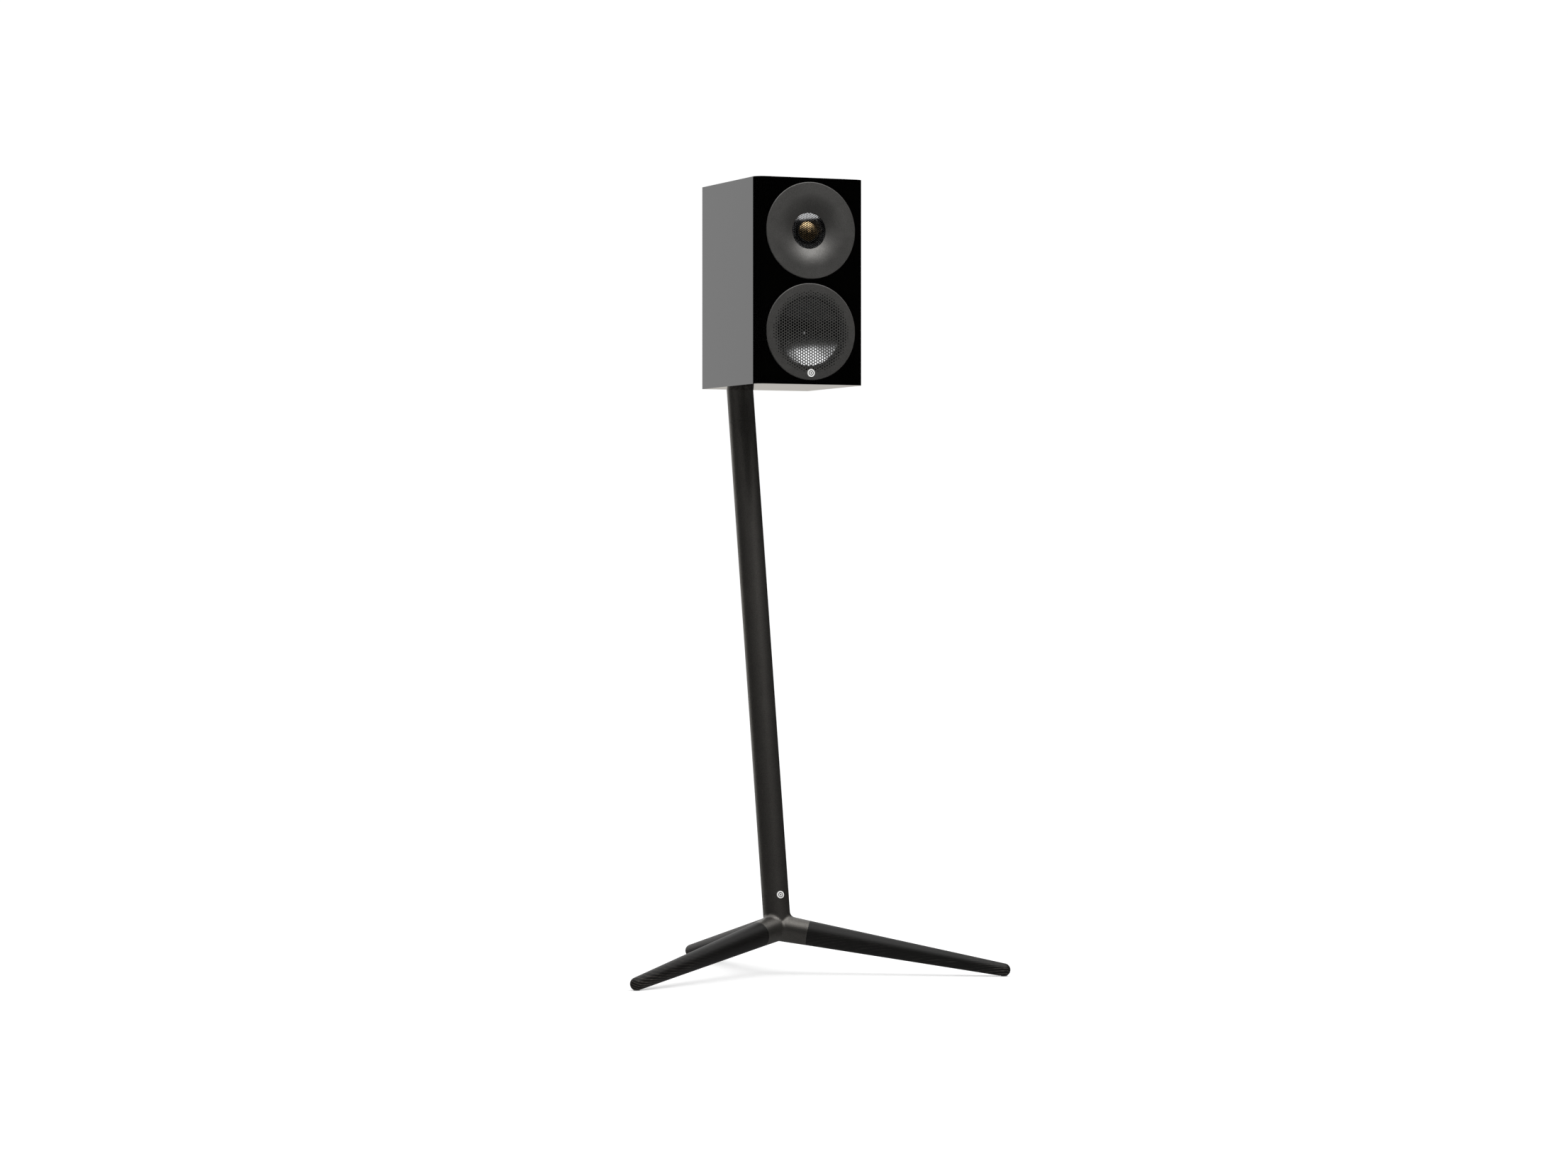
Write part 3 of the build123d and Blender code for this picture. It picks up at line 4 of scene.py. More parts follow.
import bmesh
import bpy
import numpy as np
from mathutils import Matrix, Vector

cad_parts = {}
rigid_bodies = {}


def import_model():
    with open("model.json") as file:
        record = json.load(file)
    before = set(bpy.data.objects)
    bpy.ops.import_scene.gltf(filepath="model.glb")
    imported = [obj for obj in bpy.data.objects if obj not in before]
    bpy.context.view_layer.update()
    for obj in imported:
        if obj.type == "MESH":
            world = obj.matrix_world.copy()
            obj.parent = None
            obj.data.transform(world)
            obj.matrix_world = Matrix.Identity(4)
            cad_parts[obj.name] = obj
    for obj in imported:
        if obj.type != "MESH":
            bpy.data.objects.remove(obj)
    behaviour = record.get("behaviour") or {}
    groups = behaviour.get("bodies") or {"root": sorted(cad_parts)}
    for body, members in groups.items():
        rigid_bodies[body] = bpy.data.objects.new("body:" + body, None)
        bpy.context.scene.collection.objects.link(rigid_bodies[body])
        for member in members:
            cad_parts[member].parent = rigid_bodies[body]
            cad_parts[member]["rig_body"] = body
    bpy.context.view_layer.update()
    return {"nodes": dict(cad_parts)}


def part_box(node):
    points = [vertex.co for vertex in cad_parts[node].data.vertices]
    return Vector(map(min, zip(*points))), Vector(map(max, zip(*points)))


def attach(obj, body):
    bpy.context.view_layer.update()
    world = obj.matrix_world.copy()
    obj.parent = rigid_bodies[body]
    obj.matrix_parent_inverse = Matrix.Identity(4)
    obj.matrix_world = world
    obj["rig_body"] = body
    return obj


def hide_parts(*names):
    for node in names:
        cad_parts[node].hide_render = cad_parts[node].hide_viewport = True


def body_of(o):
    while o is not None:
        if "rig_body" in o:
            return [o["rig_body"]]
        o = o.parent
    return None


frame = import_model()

nodes = frame["nodes"]
UP = Vector((0, 0, 1))


# ------------------------------------------------------------------ places read from the frame
def middle(node):
    """Centre of a CAD node's box."""
    low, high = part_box(node)
    return (low + high) / 2


def own_axes(node):
    """Centre and unit vectors of a long piece: along it, level across it, and the third."""
    points = np.array([v.co for v in nodes[node].data.vertices])
    centre = points.mean(0)
    along = Vector(np.linalg.svd(points - centre, full_matrices=False)[2][0]).normalized()
    across = along.cross(UP).normalized()
    return Vector(centre), along, across, along.cross(across)


front_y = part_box("front_baffle")[0].y
woofer_axis = middle("woofer_grille")
tweeter_axis = middle("tweeter_waveguide")


# ------------------------------------------------------------------ material building blocks
class Finish:
    """One material's node tree, with short calls for the nodes that the finishes share."""

    def __init__(self, name):
        self.material = bpy.data.materials.new(name)
        self.material.use_nodes = True
        self.tree = self.material.node_tree
        self.shader = self.tree.nodes["Principled BSDF"]
        self.place = self.node("ShaderNodeTexCoord", output="Object")

    def put(self, socket, value):
        """Link a socket to another node's output, or set it."""
        if isinstance(value, bpy.types.NodeSocket):
            self.tree.links.new(value, socket)
        elif isinstance(value, (tuple, list)) and len(value) == 3 and socket.type == "RGBA":
            socket.default_value = (*value, 1.0)
        else:
            socket.default_value = value

    def node(self, kind, output=0, settings=None, **inputs):
        """Add a node; inputs are given by socket name, with _ for a space, or as s0, s1..."""
        n = self.tree.nodes.new(kind)
        for key, value in (settings or {}).items():
            setattr(n, key, value)
        for key, value in inputs.items():
            by_number = key[0] == "s" and key[1:].isdigit()
            name = int(key[1:]) if by_number else key.replace("_", " ")
            self.put(n.inputs[name], value)
        return n.outputs[output]

    def set(self, **sockets):
        for key, value in sockets.items():
            self.put(self.shader.inputs[key.replace("_", " ")], value)
        return self

    def math(self, operation, a, b=0.0, clamp=False):
        settings = {"operation": operation, "use_clamp": clamp}
        return self.node("ShaderNodeMath", settings=settings, s0=a, s1=b)

    def vector(self, operation, a, b=(0.0, 0.0, 0.0)):
        output = 1 if operation in ("DOT_PRODUCT", "LENGTH") else 0
        return self.node("ShaderNodeVectorMath", output, {"operation": operation}, s0=a, s1=b)

    def noise(self, scale, detail=3.0, roughness=0.55, at=None, distortion=0.0):
        vector = self.place if at is None else at
        return self.node("ShaderNodeTexNoise", 0, None, Vector=vector, Scale=scale, Detail=detail,
                         Roughness=roughness, Distortion=distortion)

    def spread(self, value, low, high, to_low=0.0, to_high=1.0):
        """Map low..high to to_low..to_high, held at the ends."""
        return self.node("ShaderNodeMapRange", 0, {"clamp": True}, Value=value, From_Min=low,
                         From_Max=high, To_Min=to_low, To_Max=to_high)

    def mix(self, share, a, b):
        """Colour a at share 0 and colour b at share 1."""
        n = self.tree.nodes.new("ShaderNodeMix")
        n.data_type = "RGBA"
        colours = [s for s in n.inputs if s.type == "RGBA"]
        self.put(n.inputs[0], share)
        self.put(colours[0], a)
        self.put(colours[1], b)
        return next(s for s in n.outputs if s.type == "RGBA")

    def bump(self, height, strength, depth, over=None):
        inputs = {"Height": height, "Strength": strength, "Distance": depth}
        if over is not None:
            inputs["Normal"] = over
        return self.node("ShaderNodeBump", 0, None, **inputs)

    def frame_at(self, centre, *axes):
        """Coordinates measured from centre along the given unit vectors."""
        away = self.vector("SUBTRACT", self.place, tuple(centre))
        parts = {f"s{i}": self.vector("DOT_PRODUCT", away, tuple(a)) for i, a in enumerate(axes)}
        return self.node("ShaderNodeCombineXYZ", **parts), away


def lacquer():
    """Polished black lacquer: deep, with a trace of orange peel and polishing haze."""
    f = Finish("gloss_black_lacquer")
    haze = f.noise(14.0, 4.0)
    peel = f.noise(160.0, 2.0)
    f.set(Base_Color=f.mix(haze, (0.0004, 0.0004, 0.0004), (0.0008, 0.0008, 0.0008)),
          Roughness=f.spread(haze, 0.3, 0.7, 0.025, 0.050), IOR=1.80,
          Normal=f.bump(peel, 0.02, 0.00004))
    return f.material


def powder_coat(name, dark, light, grain, roughness, depth, flake=0.0):
    """Fine textured coat: small rounded grains, each a little lighter or darker.

    flake is the share of metal flake, which gives the coat its satin highlights.
    """
    f = Finish(name)
    speck = f.noise(grain, 2.0, 0.6)
    cloud = f.noise(grain / 40, 2.0)
    tone = f.math("ADD", f.spread(speck, 0.35, 0.65), f.spread(cloud, 0.3, 0.7, -0.12, 0.12), True)
    f.set(Base_Color=f.mix(tone, dark, light),
          Roughness=f.spread(speck, 0.3, 0.7, roughness + 0.06, roughness - 0.06),
          Metallic=flake, Normal=f.bump(speck, 0.35, depth))
    return f.material


def turned_metal(name, colour, centre, pitch, roughness, depth, metallic=1.0):
    """Metal spun or turned about the depth axis: fine rings, faint patches and a matt spot at the
    centre.
    """
    f = Finish(name)
    _, away = f.frame_at(centre)
    flat = f.vector("MULTIPLY", away, (1.0, 0.0, 1.0))
    radius = f.vector("LENGTH", flat)
    along_radius = f.node("ShaderNodeCombineXYZ", X=f.math("DIVIDE", radius, pitch))
    rings = f.noise(1.0, 3.0, 0.7, at=along_radius)
    patch = f.noise(60.0, 3.0)
    darker = tuple(c * 0.86 for c in colour)
    fine = f.spread(rings, 0.25, 0.75, roughness - 0.05, roughness + 0.07)
    matt_centre = f.spread(radius, 0.0, 0.003, 0.5, 0.0)
    relief = f.math("MULTIPLY", rings, f.spread(radius, 0.001, 0.006))
    f.set(Base_Color=f.mix(patch, darker, colour), Roughness=f.math("ADD", fine, matt_centre),
          Metallic=metallic, Normal=f.bump(relief, 0.25, depth))
    return f.material


def plated(name, colour, roughness):
    """Plated steel or brass: slightly uneven bright plating with fine scratches."""
    f = Finish(name)
    patch = f.noise(180.0, 4.0)
    stretched = f.vector("MULTIPLY", f.place, (90.0, 90.0, 1400.0))
    scratch = f.noise(1.0, 3.0, 0.7, at=stretched)
    f.set(Base_Color=f.mix(patch, tuple(c * 0.82 for c in colour), colour), Metallic=1.0,
          Roughness=f.spread(scratch, 0.3, 0.7, roughness - 0.06, roughness + 0.1),
          Normal=f.bump(scratch, 0.08, 0.00004))
    return f.material


def moulded(name, colour, roughness, grain=2200.0, depth=0.00005):
    """Moulded plastic or rubber with a fine eroded texture."""
    f = Finish(name)
    skin = f.noise(grain, 3.0, 0.6)
    cloud = f.noise(35.0, 3.0)
    f.set(Base_Color=f.mix(cloud, tuple(c * 0.78 for c in colour), tuple(c * 1.15 for c in colour)),
          Roughness=f.spread(skin, 0.3, 0.7, roughness - 0.07, roughness + 0.09),
          Normal=f.bump(skin, 0.3, depth))
    return f.material


def winding(name, colour, pitch):
    """Enamelled wire wound side by side: ridges along the depth axis, with painted shade darkening
    the grooves between turns.
    """
    f = Finish(name)
    ridge = f.node("ShaderNodeTexWave", 1, {"bands_direction": "Y", "wave_profile": "SIN"},
                   Vector=f.place, Scale=0.314159 / pitch, Distortion=0.4, Detail=1.0)
    # The ridge pattern also sets the colour: the grooves between turns drop to 0.45 of the wire
    # colour, which is painted shade.
    f.set(Base_Color=f.mix(ridge, tuple(c * 0.45 for c in colour), colour), Metallic=0.85,
          Roughness=0.32, Coat_Weight=0.4, Coat_Roughness=0.15,
          Normal=f.bump(ridge, 0.6, pitch / 3))
    return f.material


def woven(name, colour, pitch):
    """Resin-dipped cloth: two crossed sets of threads, with painted shade darkening the dips
    between them.
    """
    f = Finish(name)
    scale = 0.314159 / pitch
    warp = f.node("ShaderNodeTexWave", 1, {"bands_direction": "X"}, Vector=f.place, Scale=scale)
    weft = f.node("ShaderNodeTexWave", 1, {"bands_direction": "Z"}, Vector=f.place, Scale=scale)
    thread = f.math("MULTIPLY", warp, weft)
    fuzz = f.noise(900.0)
    # The thread height also sets the colour: it drops to half where the threads dip, which is
    # painted shade.
    f.set(Base_Color=f.mix(thread, tuple(c * 0.5 for c in colour), colour),
          Roughness=f.spread(fuzz, 0.2, 0.8, 0.7, 0.95), Sheen_Weight=0.2,
          Normal=f.bump(thread, 0.7, pitch / 4))
    return f.material


def fleece(name, colour):
    """Loose polyester wadding: tangled bright fibres over soft lumps."""
    f = Finish(name)
    lump = f.noise(70.0, 3.0)
    fibre = f.noise(1500.0, 5.0, 0.7, distortion=2.0)
    f.set(Base_Color=f.mix(f.math("MULTIPLY", lump, fibre), tuple(c * 0.6 for c in colour), colour),
          Roughness=0.95, Sheen_Weight=0.6, Sheen_Roughness=0.5, Subsurface_Weight=0.1,
          Subsurface_Scale=0.003, Normal=f.bump(fibre, 0.8, 0.0006, f.bump(lump, 0.5, 0.003)))
    return f.material


def fibreboard():
    """Bare board: pressed brown fibres."""
    f = Finish("bare_fibreboard")
    fibre = f.noise(700.0, 5.0, 0.7)
    cloud = f.noise(30.0)
    tone = f.math("MULTIPLY", fibre, f.math("ADD", cloud, 0.5), True)
    f.set(Base_Color=f.mix(tone, (0.22, 0.145, 0.08), (0.50, 0.37, 0.235)), Roughness=0.85,
          Normal=f.bump(fibre, 0.4, 0.0002))
    return f.material


def circuit_board():
    """Green solder mask over etched copper tracks."""
    f = Finish("green_circuit_board")
    cells = f.node("ShaderNodeTexVoronoi", 0, {"feature": "DISTANCE_TO_EDGE"},
                   Vector=f.place, Scale=95.0)
    track = f.spread(cells, 0.09, 0.11)
    grit = f.noise(1200.0)
    f.set(Base_Color=f.mix(track, (0.012, 0.075, 0.025), (0.03, 0.19, 0.06)),
          Roughness=f.spread(grit, 0.3, 0.7, 0.28, 0.42), Coat_Weight=0.5, Coat_Roughness=0.2,
          Normal=f.bump(track, 0.3, 0.00008))
    return f.material


def ceramic():
    f = Finish("cement_resistor_body")
    grit = f.noise(1600.0, 5.0, 0.7)
    f.set(Base_Color=f.mix(grit, (0.62, 0.60, 0.54), (0.84, 0.82, 0.76)), Roughness=0.9,
          Normal=f.bump(grit, 0.5, 0.0002))
    return f.material


def film(name, colour):
    """Wound plastic film with the wrap's edge lines."""
    f = Finish(name)
    wrap = f.noise(1.0, 2.0, 0.5, at=f.vector("MULTIPLY", f.place, (40.0, 40.0, 900.0)))
    f.set(Base_Color=f.mix(wrap, tuple(c * 0.7 for c in colour), colour),
          Roughness=f.spread(wrap, 0.3, 0.7, 0.15, 0.3), Coat_Weight=0.6,
          Normal=f.bump(wrap, 0.15, 0.0001))
    return f.material


def badge(name, centre, radius):
    """White enamel with a plain dark ring and dot on it."""
    f = Finish(name)
    _, away = f.frame_at(centre)
    distance = f.vector("LENGTH", f.vector("MULTIPLY", away, (1.0, 0.0, 1.0)))
    ring_r, ring_half_width, dot_r = radius * 0.56, radius * 0.10, radius * 0.20
    ring = f.math("COMPARE", distance, ring_r)
    ring.node.inputs[2].default_value = ring_half_width
    dot = f.math("LESS_THAN", distance, dot_r)
    mark = f.math("MAXIMUM", ring, dot)
    grime = f.noise(300.0, 4.0)
    white = f.mix(grime, (0.62, 0.62, 0.61), (0.72, 0.72, 0.71))
    f.set(Base_Color=f.mix(mark, white, (0.012, 0.012, 0.012)),
          Roughness=f.spread(grime, 0.3, 0.7, 0.18, 0.3), Coat_Weight=0.5)
    return f.material


def stained_ash(name, node, ring_pitch):
    """Black-stained open-grain wood: growth layers cut by the taper, and pores along the grain."""
    f = Finish(name)
    centre, along, across, third = own_axes(node)
    tip_side = 1.0 if along.dot(centre - middle("stand_hub")) > 0 else -1.0
    here, _ = f.frame_at(centre, along, across, third)
    sway = f.noise(1.0, 2.0, 0.5, at=f.vector("MULTIPLY", here, (9.0, 22.0, 22.0)))
    layer = f.vector("DOT_PRODUCT", here, (0.24, 0.40, 0.88))
    phase = f.math("ADD", f.math("DIVIDE", layer, ring_pitch), f.math("MULTIPLY", sway, 2.6))
    ring = f.math("FRACT", phase)
    edge = f.math("MULTIPLY", f.spread(ring, 0.62, 0.80), f.spread(ring, 1.0, 0.90))
    streak = f.noise(1.0, 4.0, 0.65, at=f.vector("MULTIPLY", here, (60.0, 1900.0, 1900.0)))
    pore = f.spread(streak, 0.46, 0.60)
    out = f.node("ShaderNodeSeparateXYZ", 0, None, Vector=here)
    tipward = f.spread(f.math("MULTIPLY", out, tip_side), -0.02, 0.10, 0.12, 1.0)
    drift = f.noise(1.0, 2.0, at=f.vector("MULTIPLY", here, (14.0, 40.0, 40.0)))
    patch = f.math("MULTIPLY", f.spread(drift, 0.40, 0.62), tipward)
    lines = f.math("MULTIPLY", edge, f.math("ADD", pore, 0.25))
    open_grain = f.math("MULTIPLY", lines, patch, True)
    base = f.mix(streak, (0.0034, 0.0030, 0.0027), (0.0080, 0.0071, 0.0063))
    groove = f.math("MAXIMUM", open_grain, f.math("MULTIPLY", pore, 0.4))
    f.set(Base_Color=f.mix(open_grain, base, (0.070, 0.062, 0.054)), Specular_IOR_Level=0.30,
          Roughness=f.spread(open_grain, 0.0, 1.0, 0.44, 0.62),
          Normal=f.bump(f.math("SUBTRACT", 1.0, groove), 0.5, 0.00015))
    return f.material


def clear_red():
    f = Finish("clear_red_plastic")
    flow = f.noise(120.0, 3.0)
    f.set(Base_Color=f.mix(flow, (0.30, 0.006, 0.006), (0.46, 0.012, 0.010)), Roughness=0.12,
          Coat_Weight=0.5, Subsurface_Weight=0.25, Subsurface_Scale=0.004,
          Normal=f.bump(flow, 0.05, 0.0002))
    return f.material


# ------------------------------------------------------------------ finishes, node by node
def wear(finish, *names):
    """Give CAD nodes a material in every slot."""
    for name in names:
        mesh = nodes[name].data
        mesh.materials.clear()
        mesh.materials.append(finish)


stand_coat = powder_coat("stand_powder_coat", (0.112, 0.107, 0.099), (0.180, 0.171, 0.159),
                         1500.0, 0.41, 0.00010, 0.92)
driver_coat = powder_coat("driver_textured_coat", (0.125, 0.122, 0.117), (0.255, 0.250, 0.240),
                          1900.0, 0.47, 0.00008, 0.90)
black_oxide = plated("black_oxide", (0.035, 0.035, 0.036), 0.38)
zinc = plated("zinc_plating", (0.56, 0.57, 0.58), 0.30)
gold = plated("gold_plating", (0.86, 0.62, 0.26), 0.18)
black_plastic = moulded("black_moulded_plastic", (0.016, 0.016, 0.017), 0.48)
black_rubber = moulded("black_rubber", (0.014, 0.014, 0.014), 0.72, 1400.0, 0.00008)
ferrite = moulded("sintered_ferrite", (0.055, 0.055, 0.060), 0.55, 3000.0)
cast_black = powder_coat("cast_frame_paint", (0.012, 0.012, 0.012), (0.028, 0.028, 0.028),
                         1800.0, 0.42, 0.00008)

wear(lacquer(), "front_baffle", "left_side_panel", "right_side_panel", "top_panel", "bottom_panel")
wear(powder_coat("rear_satin_paint", (0.008, 0.008, 0.008), (0.014, 0.014, 0.014), 2000.0, 0.34,
                 0.00005), "rear_panel")
wear(fibreboard(), "window_brace")
wear(driver_coat, "tweeter_waveguide", "woofer_grille")
wear(turned_metal("gold_dome_metal", (0.98, 0.72, 0.40), tweeter_axis, 0.00018, 0.36, 0.00001),
     "tweeter_dome")
wear(turned_metal("cone_metal", (0.44, 0.445, 0.45), woofer_axis, 0.00035, 0.20, 0.000004),
     "woofer_cone")
wear(winding("coil_wire", (0.72, 0.34, 0.15), 0.00025), "tweeter_voice_coil", "woofer_voice_coil")
wear(winding("inductor_wire", (0.70, 0.30, 0.12), 0.0009), "crossover_inductors")
wear(woven("spider_cloth", (0.50, 0.34, 0.15), 0.0006), "woofer_spider")
wear(black_rubber, "tweeter_surround", "woofer_surround", "driver_gaskets", "foot_pads")
wear(cast_black, "woofer_basket")
wear(zinc, "woofer_top_plate", "woofer_back_plate", "tweeter_top_plate", "tweeter_back_plate",
     "bracket_inserts", "leg_studs", "grille_magnets")
wear(ferrite, "woofer_magnet", "tweeter_magnet")
wear(black_plastic, "tweeter_rear_cup", "port_tube", "terminal_plate", "terminal_collars",
     "crossover_standoffs")
wear(gold, "terminal_posts", "terminal_nuts", "clamp_washer_positive", "clamp_washer_negative")
wear(clear_red(), "knob_positive")
wear(moulded("black_knob_plastic", (0.012, 0.012, 0.013), 0.16, 900.0, 0.00002), "knob_negative")
wear(black_oxide, "waveguide_screws", "woofer_screws", "terminal_screws", "bracket_screws",
     "pole_set_screws")
wear(circuit_board(), "crossover_board")
wear(film("capacitor_film", (0.62, 0.36, 0.03)), "crossover_capacitors")
wear(ceramic(), "crossover_resistors")
wear(moulded("wire_insulation", (0.30, 0.02, 0.02), 0.40, 700.0), "internal_wires")
wear(stand_coat, "pole_tube", "pole_head", "stand_hub")
for number, side in enumerate(("leg_front_left", "leg_front_right", "leg_rear")):
    wear(stained_ash(f"stained_ash_{number + 1}", side, 0.0030), side)
for name in ("grille_badge", "hub_badge"):
    low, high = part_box(name)
    wear(badge(f"{name}_enamel", (low + high) / 2, (high.x - low.x) / 2), name)


# ------------------------------------------------------------------ wadding in place of plain pads
def loose_parts(mesh):
    """Boxes of a mesh's separate pieces."""
    bm = bmesh.new()
    bm.from_mesh(mesh)
    bmesh.ops.remove_doubles(bm, verts=bm.verts, dist=1e-6)
    left = set(bm.verts)
    boxes = []
    while left:
        group, edge = set(), [left.pop()]
        while edge:
            v = edge.pop()
            group.add(v)
            for e in v.link_edges:
                other = e.other_vert(v)
                if other in left:
                    left.discard(other)
                    edge.append(other)
        co = np.array([v.co for v in group])
        boxes.append((co.min(0), co.max(0)))
    bm.free()
    return boxes


def pillow(low, high):
    """A crowned slab of wadding inside a box: thin at its edge, lumpy and full in the middle."""
    low, high = Vector(low), Vector(high)
    half, centre = (high - low) / 2, (high + low) / 2
    thin = min(range(3), key=lambda i: half[i])
    edge_fill, crown_fill, lump_height = 0.45, 0.49, 0.06
    side_fill, side_bulge = 0.965, 0.03
    bm = bmesh.new()
    bmesh.ops.create_cube(bm, size=2.0)
    bmesh.ops.subdivide_edges(bm, edges=bm.edges[:], cuts=15, use_grid_fill=True)
    for v in bm.verts:
        wide = [abs(v.co[i]) for i in range(3) if i != thin]
        crown = math.prod(1 - w**6 for w in wide)
        wave = math.sin(9 * v.co.x + 2) * math.sin(8 * v.co.y + 1) * math.sin(7 * v.co.z)
        pull = [side_fill + side_bulge * math.cos(4 * v.co[thin])] * 3
        pull[thin] = edge_fill + crown_fill * max(crown, 0.0) ** 0.5 + lump_height * wave * crown
        v.co = centre + Vector([v.co[i] * half[i] * pull[i] for i in range(3)])
    slab = bpy.data.meshes.new("slab")
    bm.to_mesh(slab)
    bm.free()
    return slab


def wadding():
    """One padded slab in each of the plain pads' places."""
    bm = bmesh.new()
    for low, high in loose_parts(nodes["damping_pads"].data):
        slab = pillow(low, high)
        bm.from_mesh(slab)
        bpy.data.meshes.remove(slab)
    mesh = bpy.data.meshes.new("damping_wadding")
    bm.to_mesh(mesh)
    bm.free()
    for polygon in mesh.polygons:
        polygon.use_smooth = True
    mesh.materials.append(fleece("polyester_wadding", (0.80, 0.80, 0.78)))
    piece = bpy.data.objects.new("damping_wadding", mesh)
    bpy.context.scene.collection.objects.link(piece)
    return piece


# ------------------------------------------------------------------ perforated tweeter guard
def guard_dome(node, seat_width=0.0016, rim_band=0.002):
    """The guard's dome as read from its CAD node: centre, apex, edge radius and sphere radius."""
    points = np.array([v.co for v in nodes[node].data.vertices])
    centre = middle(node)
    from_axis = np.hypot(points[:, 0] - centre.x, points[:, 2] - centre.z)
    apex = points[:, 1].min()
    edge = from_axis.max() - seat_width
    rim = points[from_axis > edge - rim_band][:, 1].min()
    rise = rim - apex
    return centre, apex, edge, (edge**2 + rise**2) / (2 * rise)


def perforated_guard(name, node, pitch, hole_r, thickness):
    """A pressed dome of perforated steel: a lattice of holed hexagons laid over a sphere."""
    centre, apex, edge, sphere = guard_dome(node)
    corners, bm = 12, bmesh.new()
    column = pitch * math.sqrt(3) / 2
    overhang = pitch * 0.45  # cells whose centre is this far past the edge are squeezed onto it
    weld, sliver = pitch * 0.02, pitch * 0.01
    reach = int(edge / column) + 2
    for i in range(-reach, reach + 1):
        for j in range(-reach, reach + 1):
            cx, cz = i * column, (j + (i % 2) / 2) * pitch
            if math.hypot(cx, cz) > edge + overhang:
                continue
            outer, inner = [], []
            for k in range(corners):
                a = 2 * math.pi * k / corners
                turn = (a - math.pi / 3) % (math.pi / 3) - math.pi / 6
                side = pitch / 2 / math.cos(turn)
                across, up = math.cos(a), math.sin(a)
                outer.append(bm.verts.new((cx + side * across, 0, cz + side * up)))
                inner.append(bm.verts.new((cx + hole_r * across, 0, cz + hole_r * up)))
            for k in range(corners):
                m = (k + 1) % corners
                bm.faces.new((outer[k], outer[m], inner[m], inner[k]))
    for v in bm.verts:
        r = math.hypot(v.co.x, v.co.z)
        if r > edge:
            v.co *= edge / r
    bmesh.ops.remove_doubles(bm, verts=bm.verts, dist=weld)
    bmesh.ops.dissolve_degenerate(bm, edges=bm.edges, dist=sliver)
    for v in bm.verts:
        r2 = v.co.x**2 + v.co.z**2
        v.co = (centre.x + v.co.x, apex + sphere - math.sqrt(sphere**2 - r2), centre.z + v.co.z)
    bmesh.ops.recalc_face_normals(bm, faces=bm.faces)
    mesh = bpy.data.meshes.new(name)
    bm.to_mesh(mesh)
    bm.free()
    piece = bpy.data.objects.new(name, mesh)
    bpy.context.scene.collection.objects.link(piece)
    solid = piece.modifiers.new("thickness", "SOLIDIFY")
    solid.thickness = thickness
    solid.offset = -1.0 if mean_outward(mesh) < 0 else 1.0
    return piece


def mean_outward(mesh):
    """Sum of the normals along +y: below zero when the faces look out at the front."""
    return sum(p.normal.y for p in mesh.polygons)


def black_chrome():
    """Bright black plating of the guard, a little hazier in patches."""
    f = Finish("guard_black_chrome")
    haze = f.noise(400.0, 3.0)
    f.set(Base_Color=f.mix(haze, (0.22, 0.22, 0.225), (0.27, 0.27, 0.275)), Metallic=1.0,
          Roughness=f.spread(haze, 0.3, 0.7, 0.10, 0.16))
    return f.material


root = body_of(nodes["front_baffle"])[0]
pads = wadding()
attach(pads, root)
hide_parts("damping_pads")

guard = perforated_guard("tweeter_guard", "tweeter_mesh", pitch=0.00245, hole_r=0.00084,
                         thickness=0.0005)
guard.data.materials.append(black_chrome())
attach(guard, root)
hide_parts("tweeter_mesh")

# The cone and the dome behind the two perforated fronts are lit and reflect the softbox as if
# nothing stood in front of them: at this size the holes would leave only noise on them.
for front in (nodes["woofer_grille"], guard):
    front.visible_shadow = False
    front.visible_glossy = False


# ------------------------------------------------------------------ studio
def add(obj):
    bpy.context.scene.collection.objects.link(obj)
    return obj


def emitter(name, strength, colour=(1.0, 1.0, 1.0), diffuse=0.0):
    """A stage surface that gives off an even light."""
    m = bpy.data.materials.new(name)
    m.use_nodes = True
    shader = m.node_tree.nodes["Principled BSDF"]
    shader.inputs["Base Color"].default_value = (diffuse, diffuse, diffuse, 1.0)
    shader.inputs["Specular IOR Level"].default_value = 0.0
    shader.inputs["Roughness"].default_value = 1.0
    shader.inputs["Emission Color"].default_value = (*colour, 1.0)
    shader.inputs["Emission Strength"].default_value = strength
    return m


def floor():
    """A wide white floor that gives off a little light of its own."""
    mesh = bpy.data.meshes.new("studio_floor")
    reach = 60.0
    corners = [(-reach, -reach, 0), (reach, -reach, 0), (reach, reach, 0), (-reach, reach, 0)]
    mesh.from_pydata(corners, [], [(0, 1, 2, 3)])
    mesh.materials.append(emitter("floor_white", 0.30, diffuse=0.80))
    add(bpy.data.objects.new("studio_floor", mesh))


def reflected_only(obj):
    """A stage card that only polished and satin surfaces see: it shades and lights nothing."""
    obj.visible_camera = False
    obj.visible_diffuse = False
    obj.visible_shadow = False
    obj.visible_transmission = False


def arc_wall(name, radius, low, high, start, end, material):
    """An upright curved card round the speaker; azimuths run from the front to the right."""
    steps = 40
    points, faces = [], []
    for i in range(steps + 1):
        a = math.radians(start + (end - start) * i / steps)
        x, y = radius * math.sin(a), -radius * math.cos(a)
        points += [(x, y, low), (x, y, high)]
        if i:
            k = 2 * i
            faces.append((k - 2, k, k + 1, k - 1))
    mesh = bpy.data.meshes.new(name)
    mesh.from_pydata(points, [], faces)
    mesh.materials.append(material)
    reflected_only(add(bpy.data.objects.new(name, mesh)))


def disc(name, radius, height, material):
    """A round card flat above the floor, centred on the speaker."""
    angles = np.linspace(0, 2 * math.pi, 64, endpoint=False)
    mesh = bpy.data.meshes.new(name)
    mesh.from_pydata([(radius * math.cos(a), radius * math.sin(a), height) for a in angles], [],
                     [tuple(range(len(angles)))])
    mesh.materials.append(material)
    reflected_only(add(bpy.data.objects.new(name, mesh)))


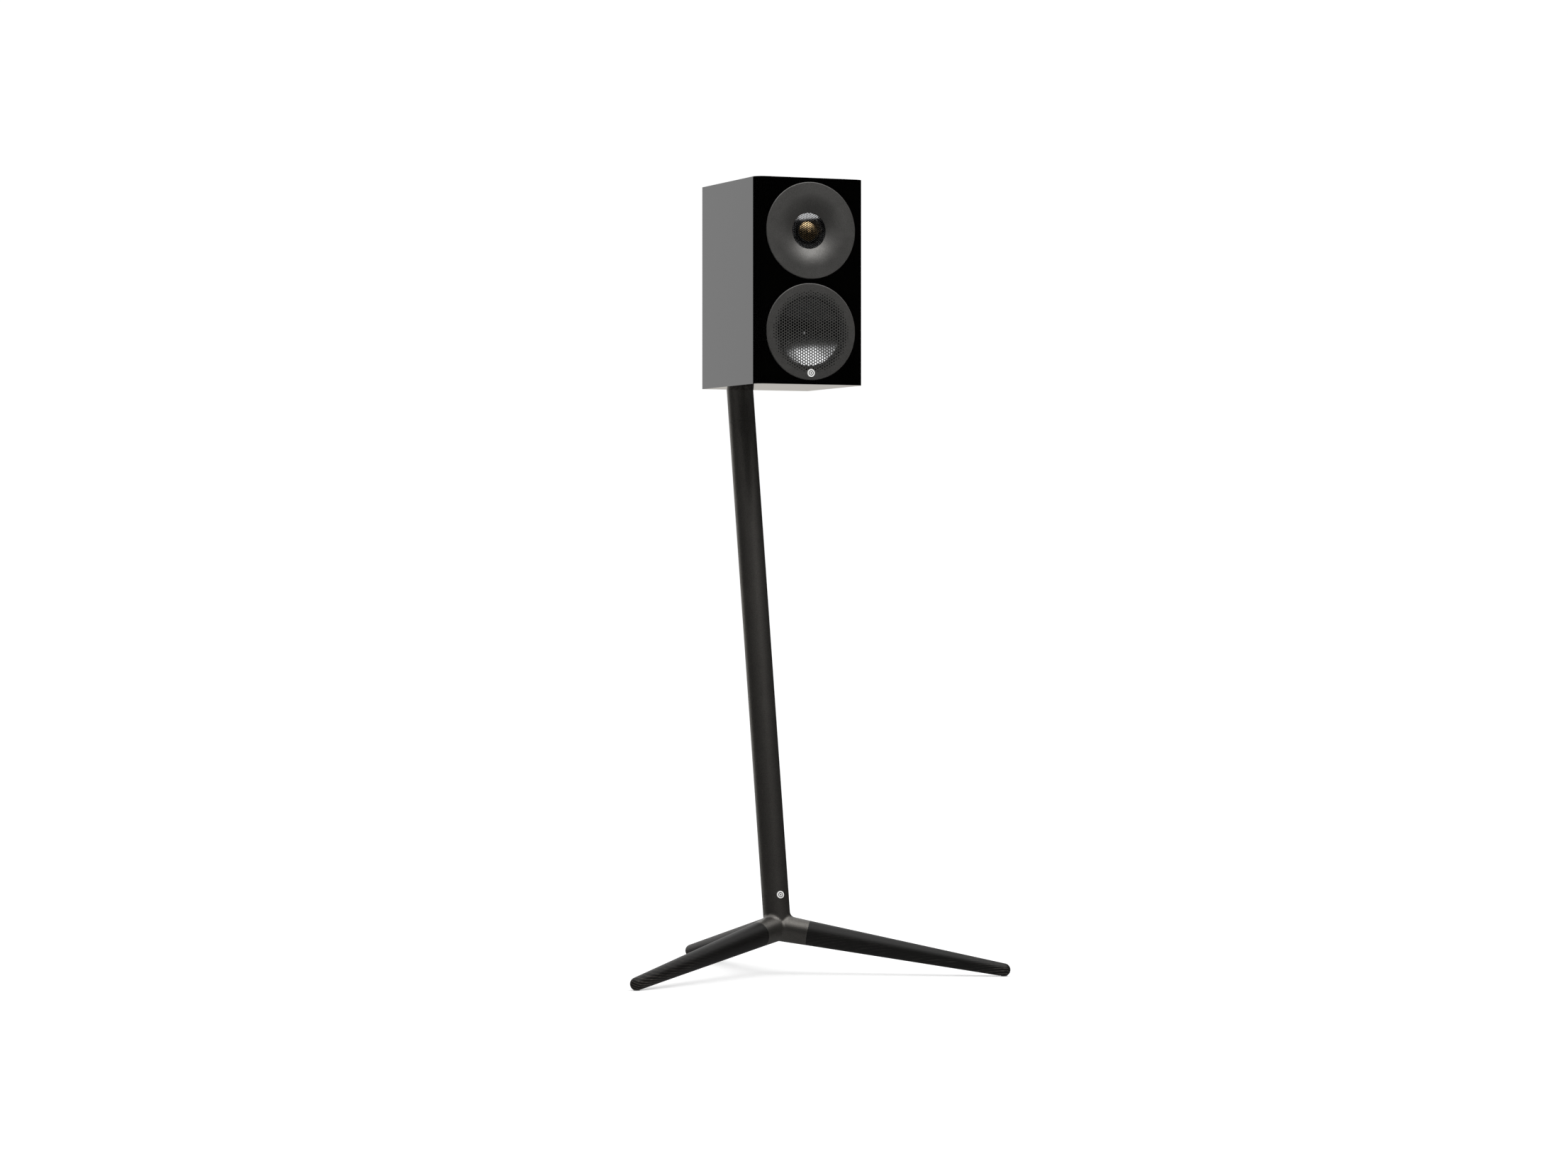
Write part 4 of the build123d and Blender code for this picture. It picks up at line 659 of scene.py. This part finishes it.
def cards():
    """Cards seen only in reflections: dark in front and at the sides, warm grey low behind."""
    screen_r, rear_r = 2.4, 3.0
    warm = emitter("card_warm", 0.60, (1.0, 0.96, 0.90))
    arc_wall("dark_screen", screen_r, low=0.0, high=2.2, start=-144, end=140,
             material=emitter("screen_black", 0.0))
    arc_wall("rear_card", rear_r, low=0.30, high=0.715, start=130, end=230, material=warm)
    disc("outer_apron", screen_r - 0.01, height=0.002, material=emitter("apron_dark", 0.03))
    disc("inner_apron", 0.55, height=0.004, material=emitter("apron_grey", 0.16))


def softbox(name, azimuth, elevation, distance, size, watts, aim):
    """A square area light that faces aim; azimuth 0 is in front of the baffle."""
    a, e = math.radians(azimuth), math.radians(elevation)
    way = Vector((math.sin(a) * math.cos(e), -math.cos(a) * math.cos(e), math.sin(e)))
    light = bpy.data.lights.new(name, "AREA")
    light.shape = "SQUARE"
    light.size = size
    light.energy = watts
    lamp = add(bpy.data.objects.new(name, light))
    lamp.location = aim + way * distance
    lamp.rotation_euler = way.to_track_quat("Z", "Y").to_euler()
    lamp.visible_camera = False
    return lamp


def studio():
    """White world and floor, the reflection cards, and one large softbox high to the right."""
    world = bpy.data.worlds.new("white_studio")
    bpy.context.scene.world = world
    world.use_nodes = True
    sky = world.node_tree.nodes["Background"]
    sky.inputs["Color"].default_value = (1.0, 1.0, 1.0, 1.0)
    sky.inputs["Strength"].default_value = 1.02
    floor()
    cards()
    head = Vector((0.0, front_y, tweeter_axis.z))
    softbox("key_overhead", azimuth=28, elevation=57, distance=2.4, size=2.3, watts=24, aim=head)
    bpy.context.scene.view_settings.view_transform = "Standard"
    bpy.context.scene.view_settings.look = "None"


def camera():
    """Level camera to the left of the front, with the whole stand in view."""
    toward_right = math.radians(-23.503)
    data = bpy.data.cameras.new("photo_camera")
    data.lens = 101.69
    data.sensor_width = 36.0
    data.clip_end = 500.0
    eye = add(bpy.data.objects.new("photo_camera", data))
    eye.location = (-2.2523, -5.2725, 0.4945)
    eye.rotation_euler = (math.radians(90), 0, toward_right)
    bpy.context.scene.camera = eye


studio()
camera()
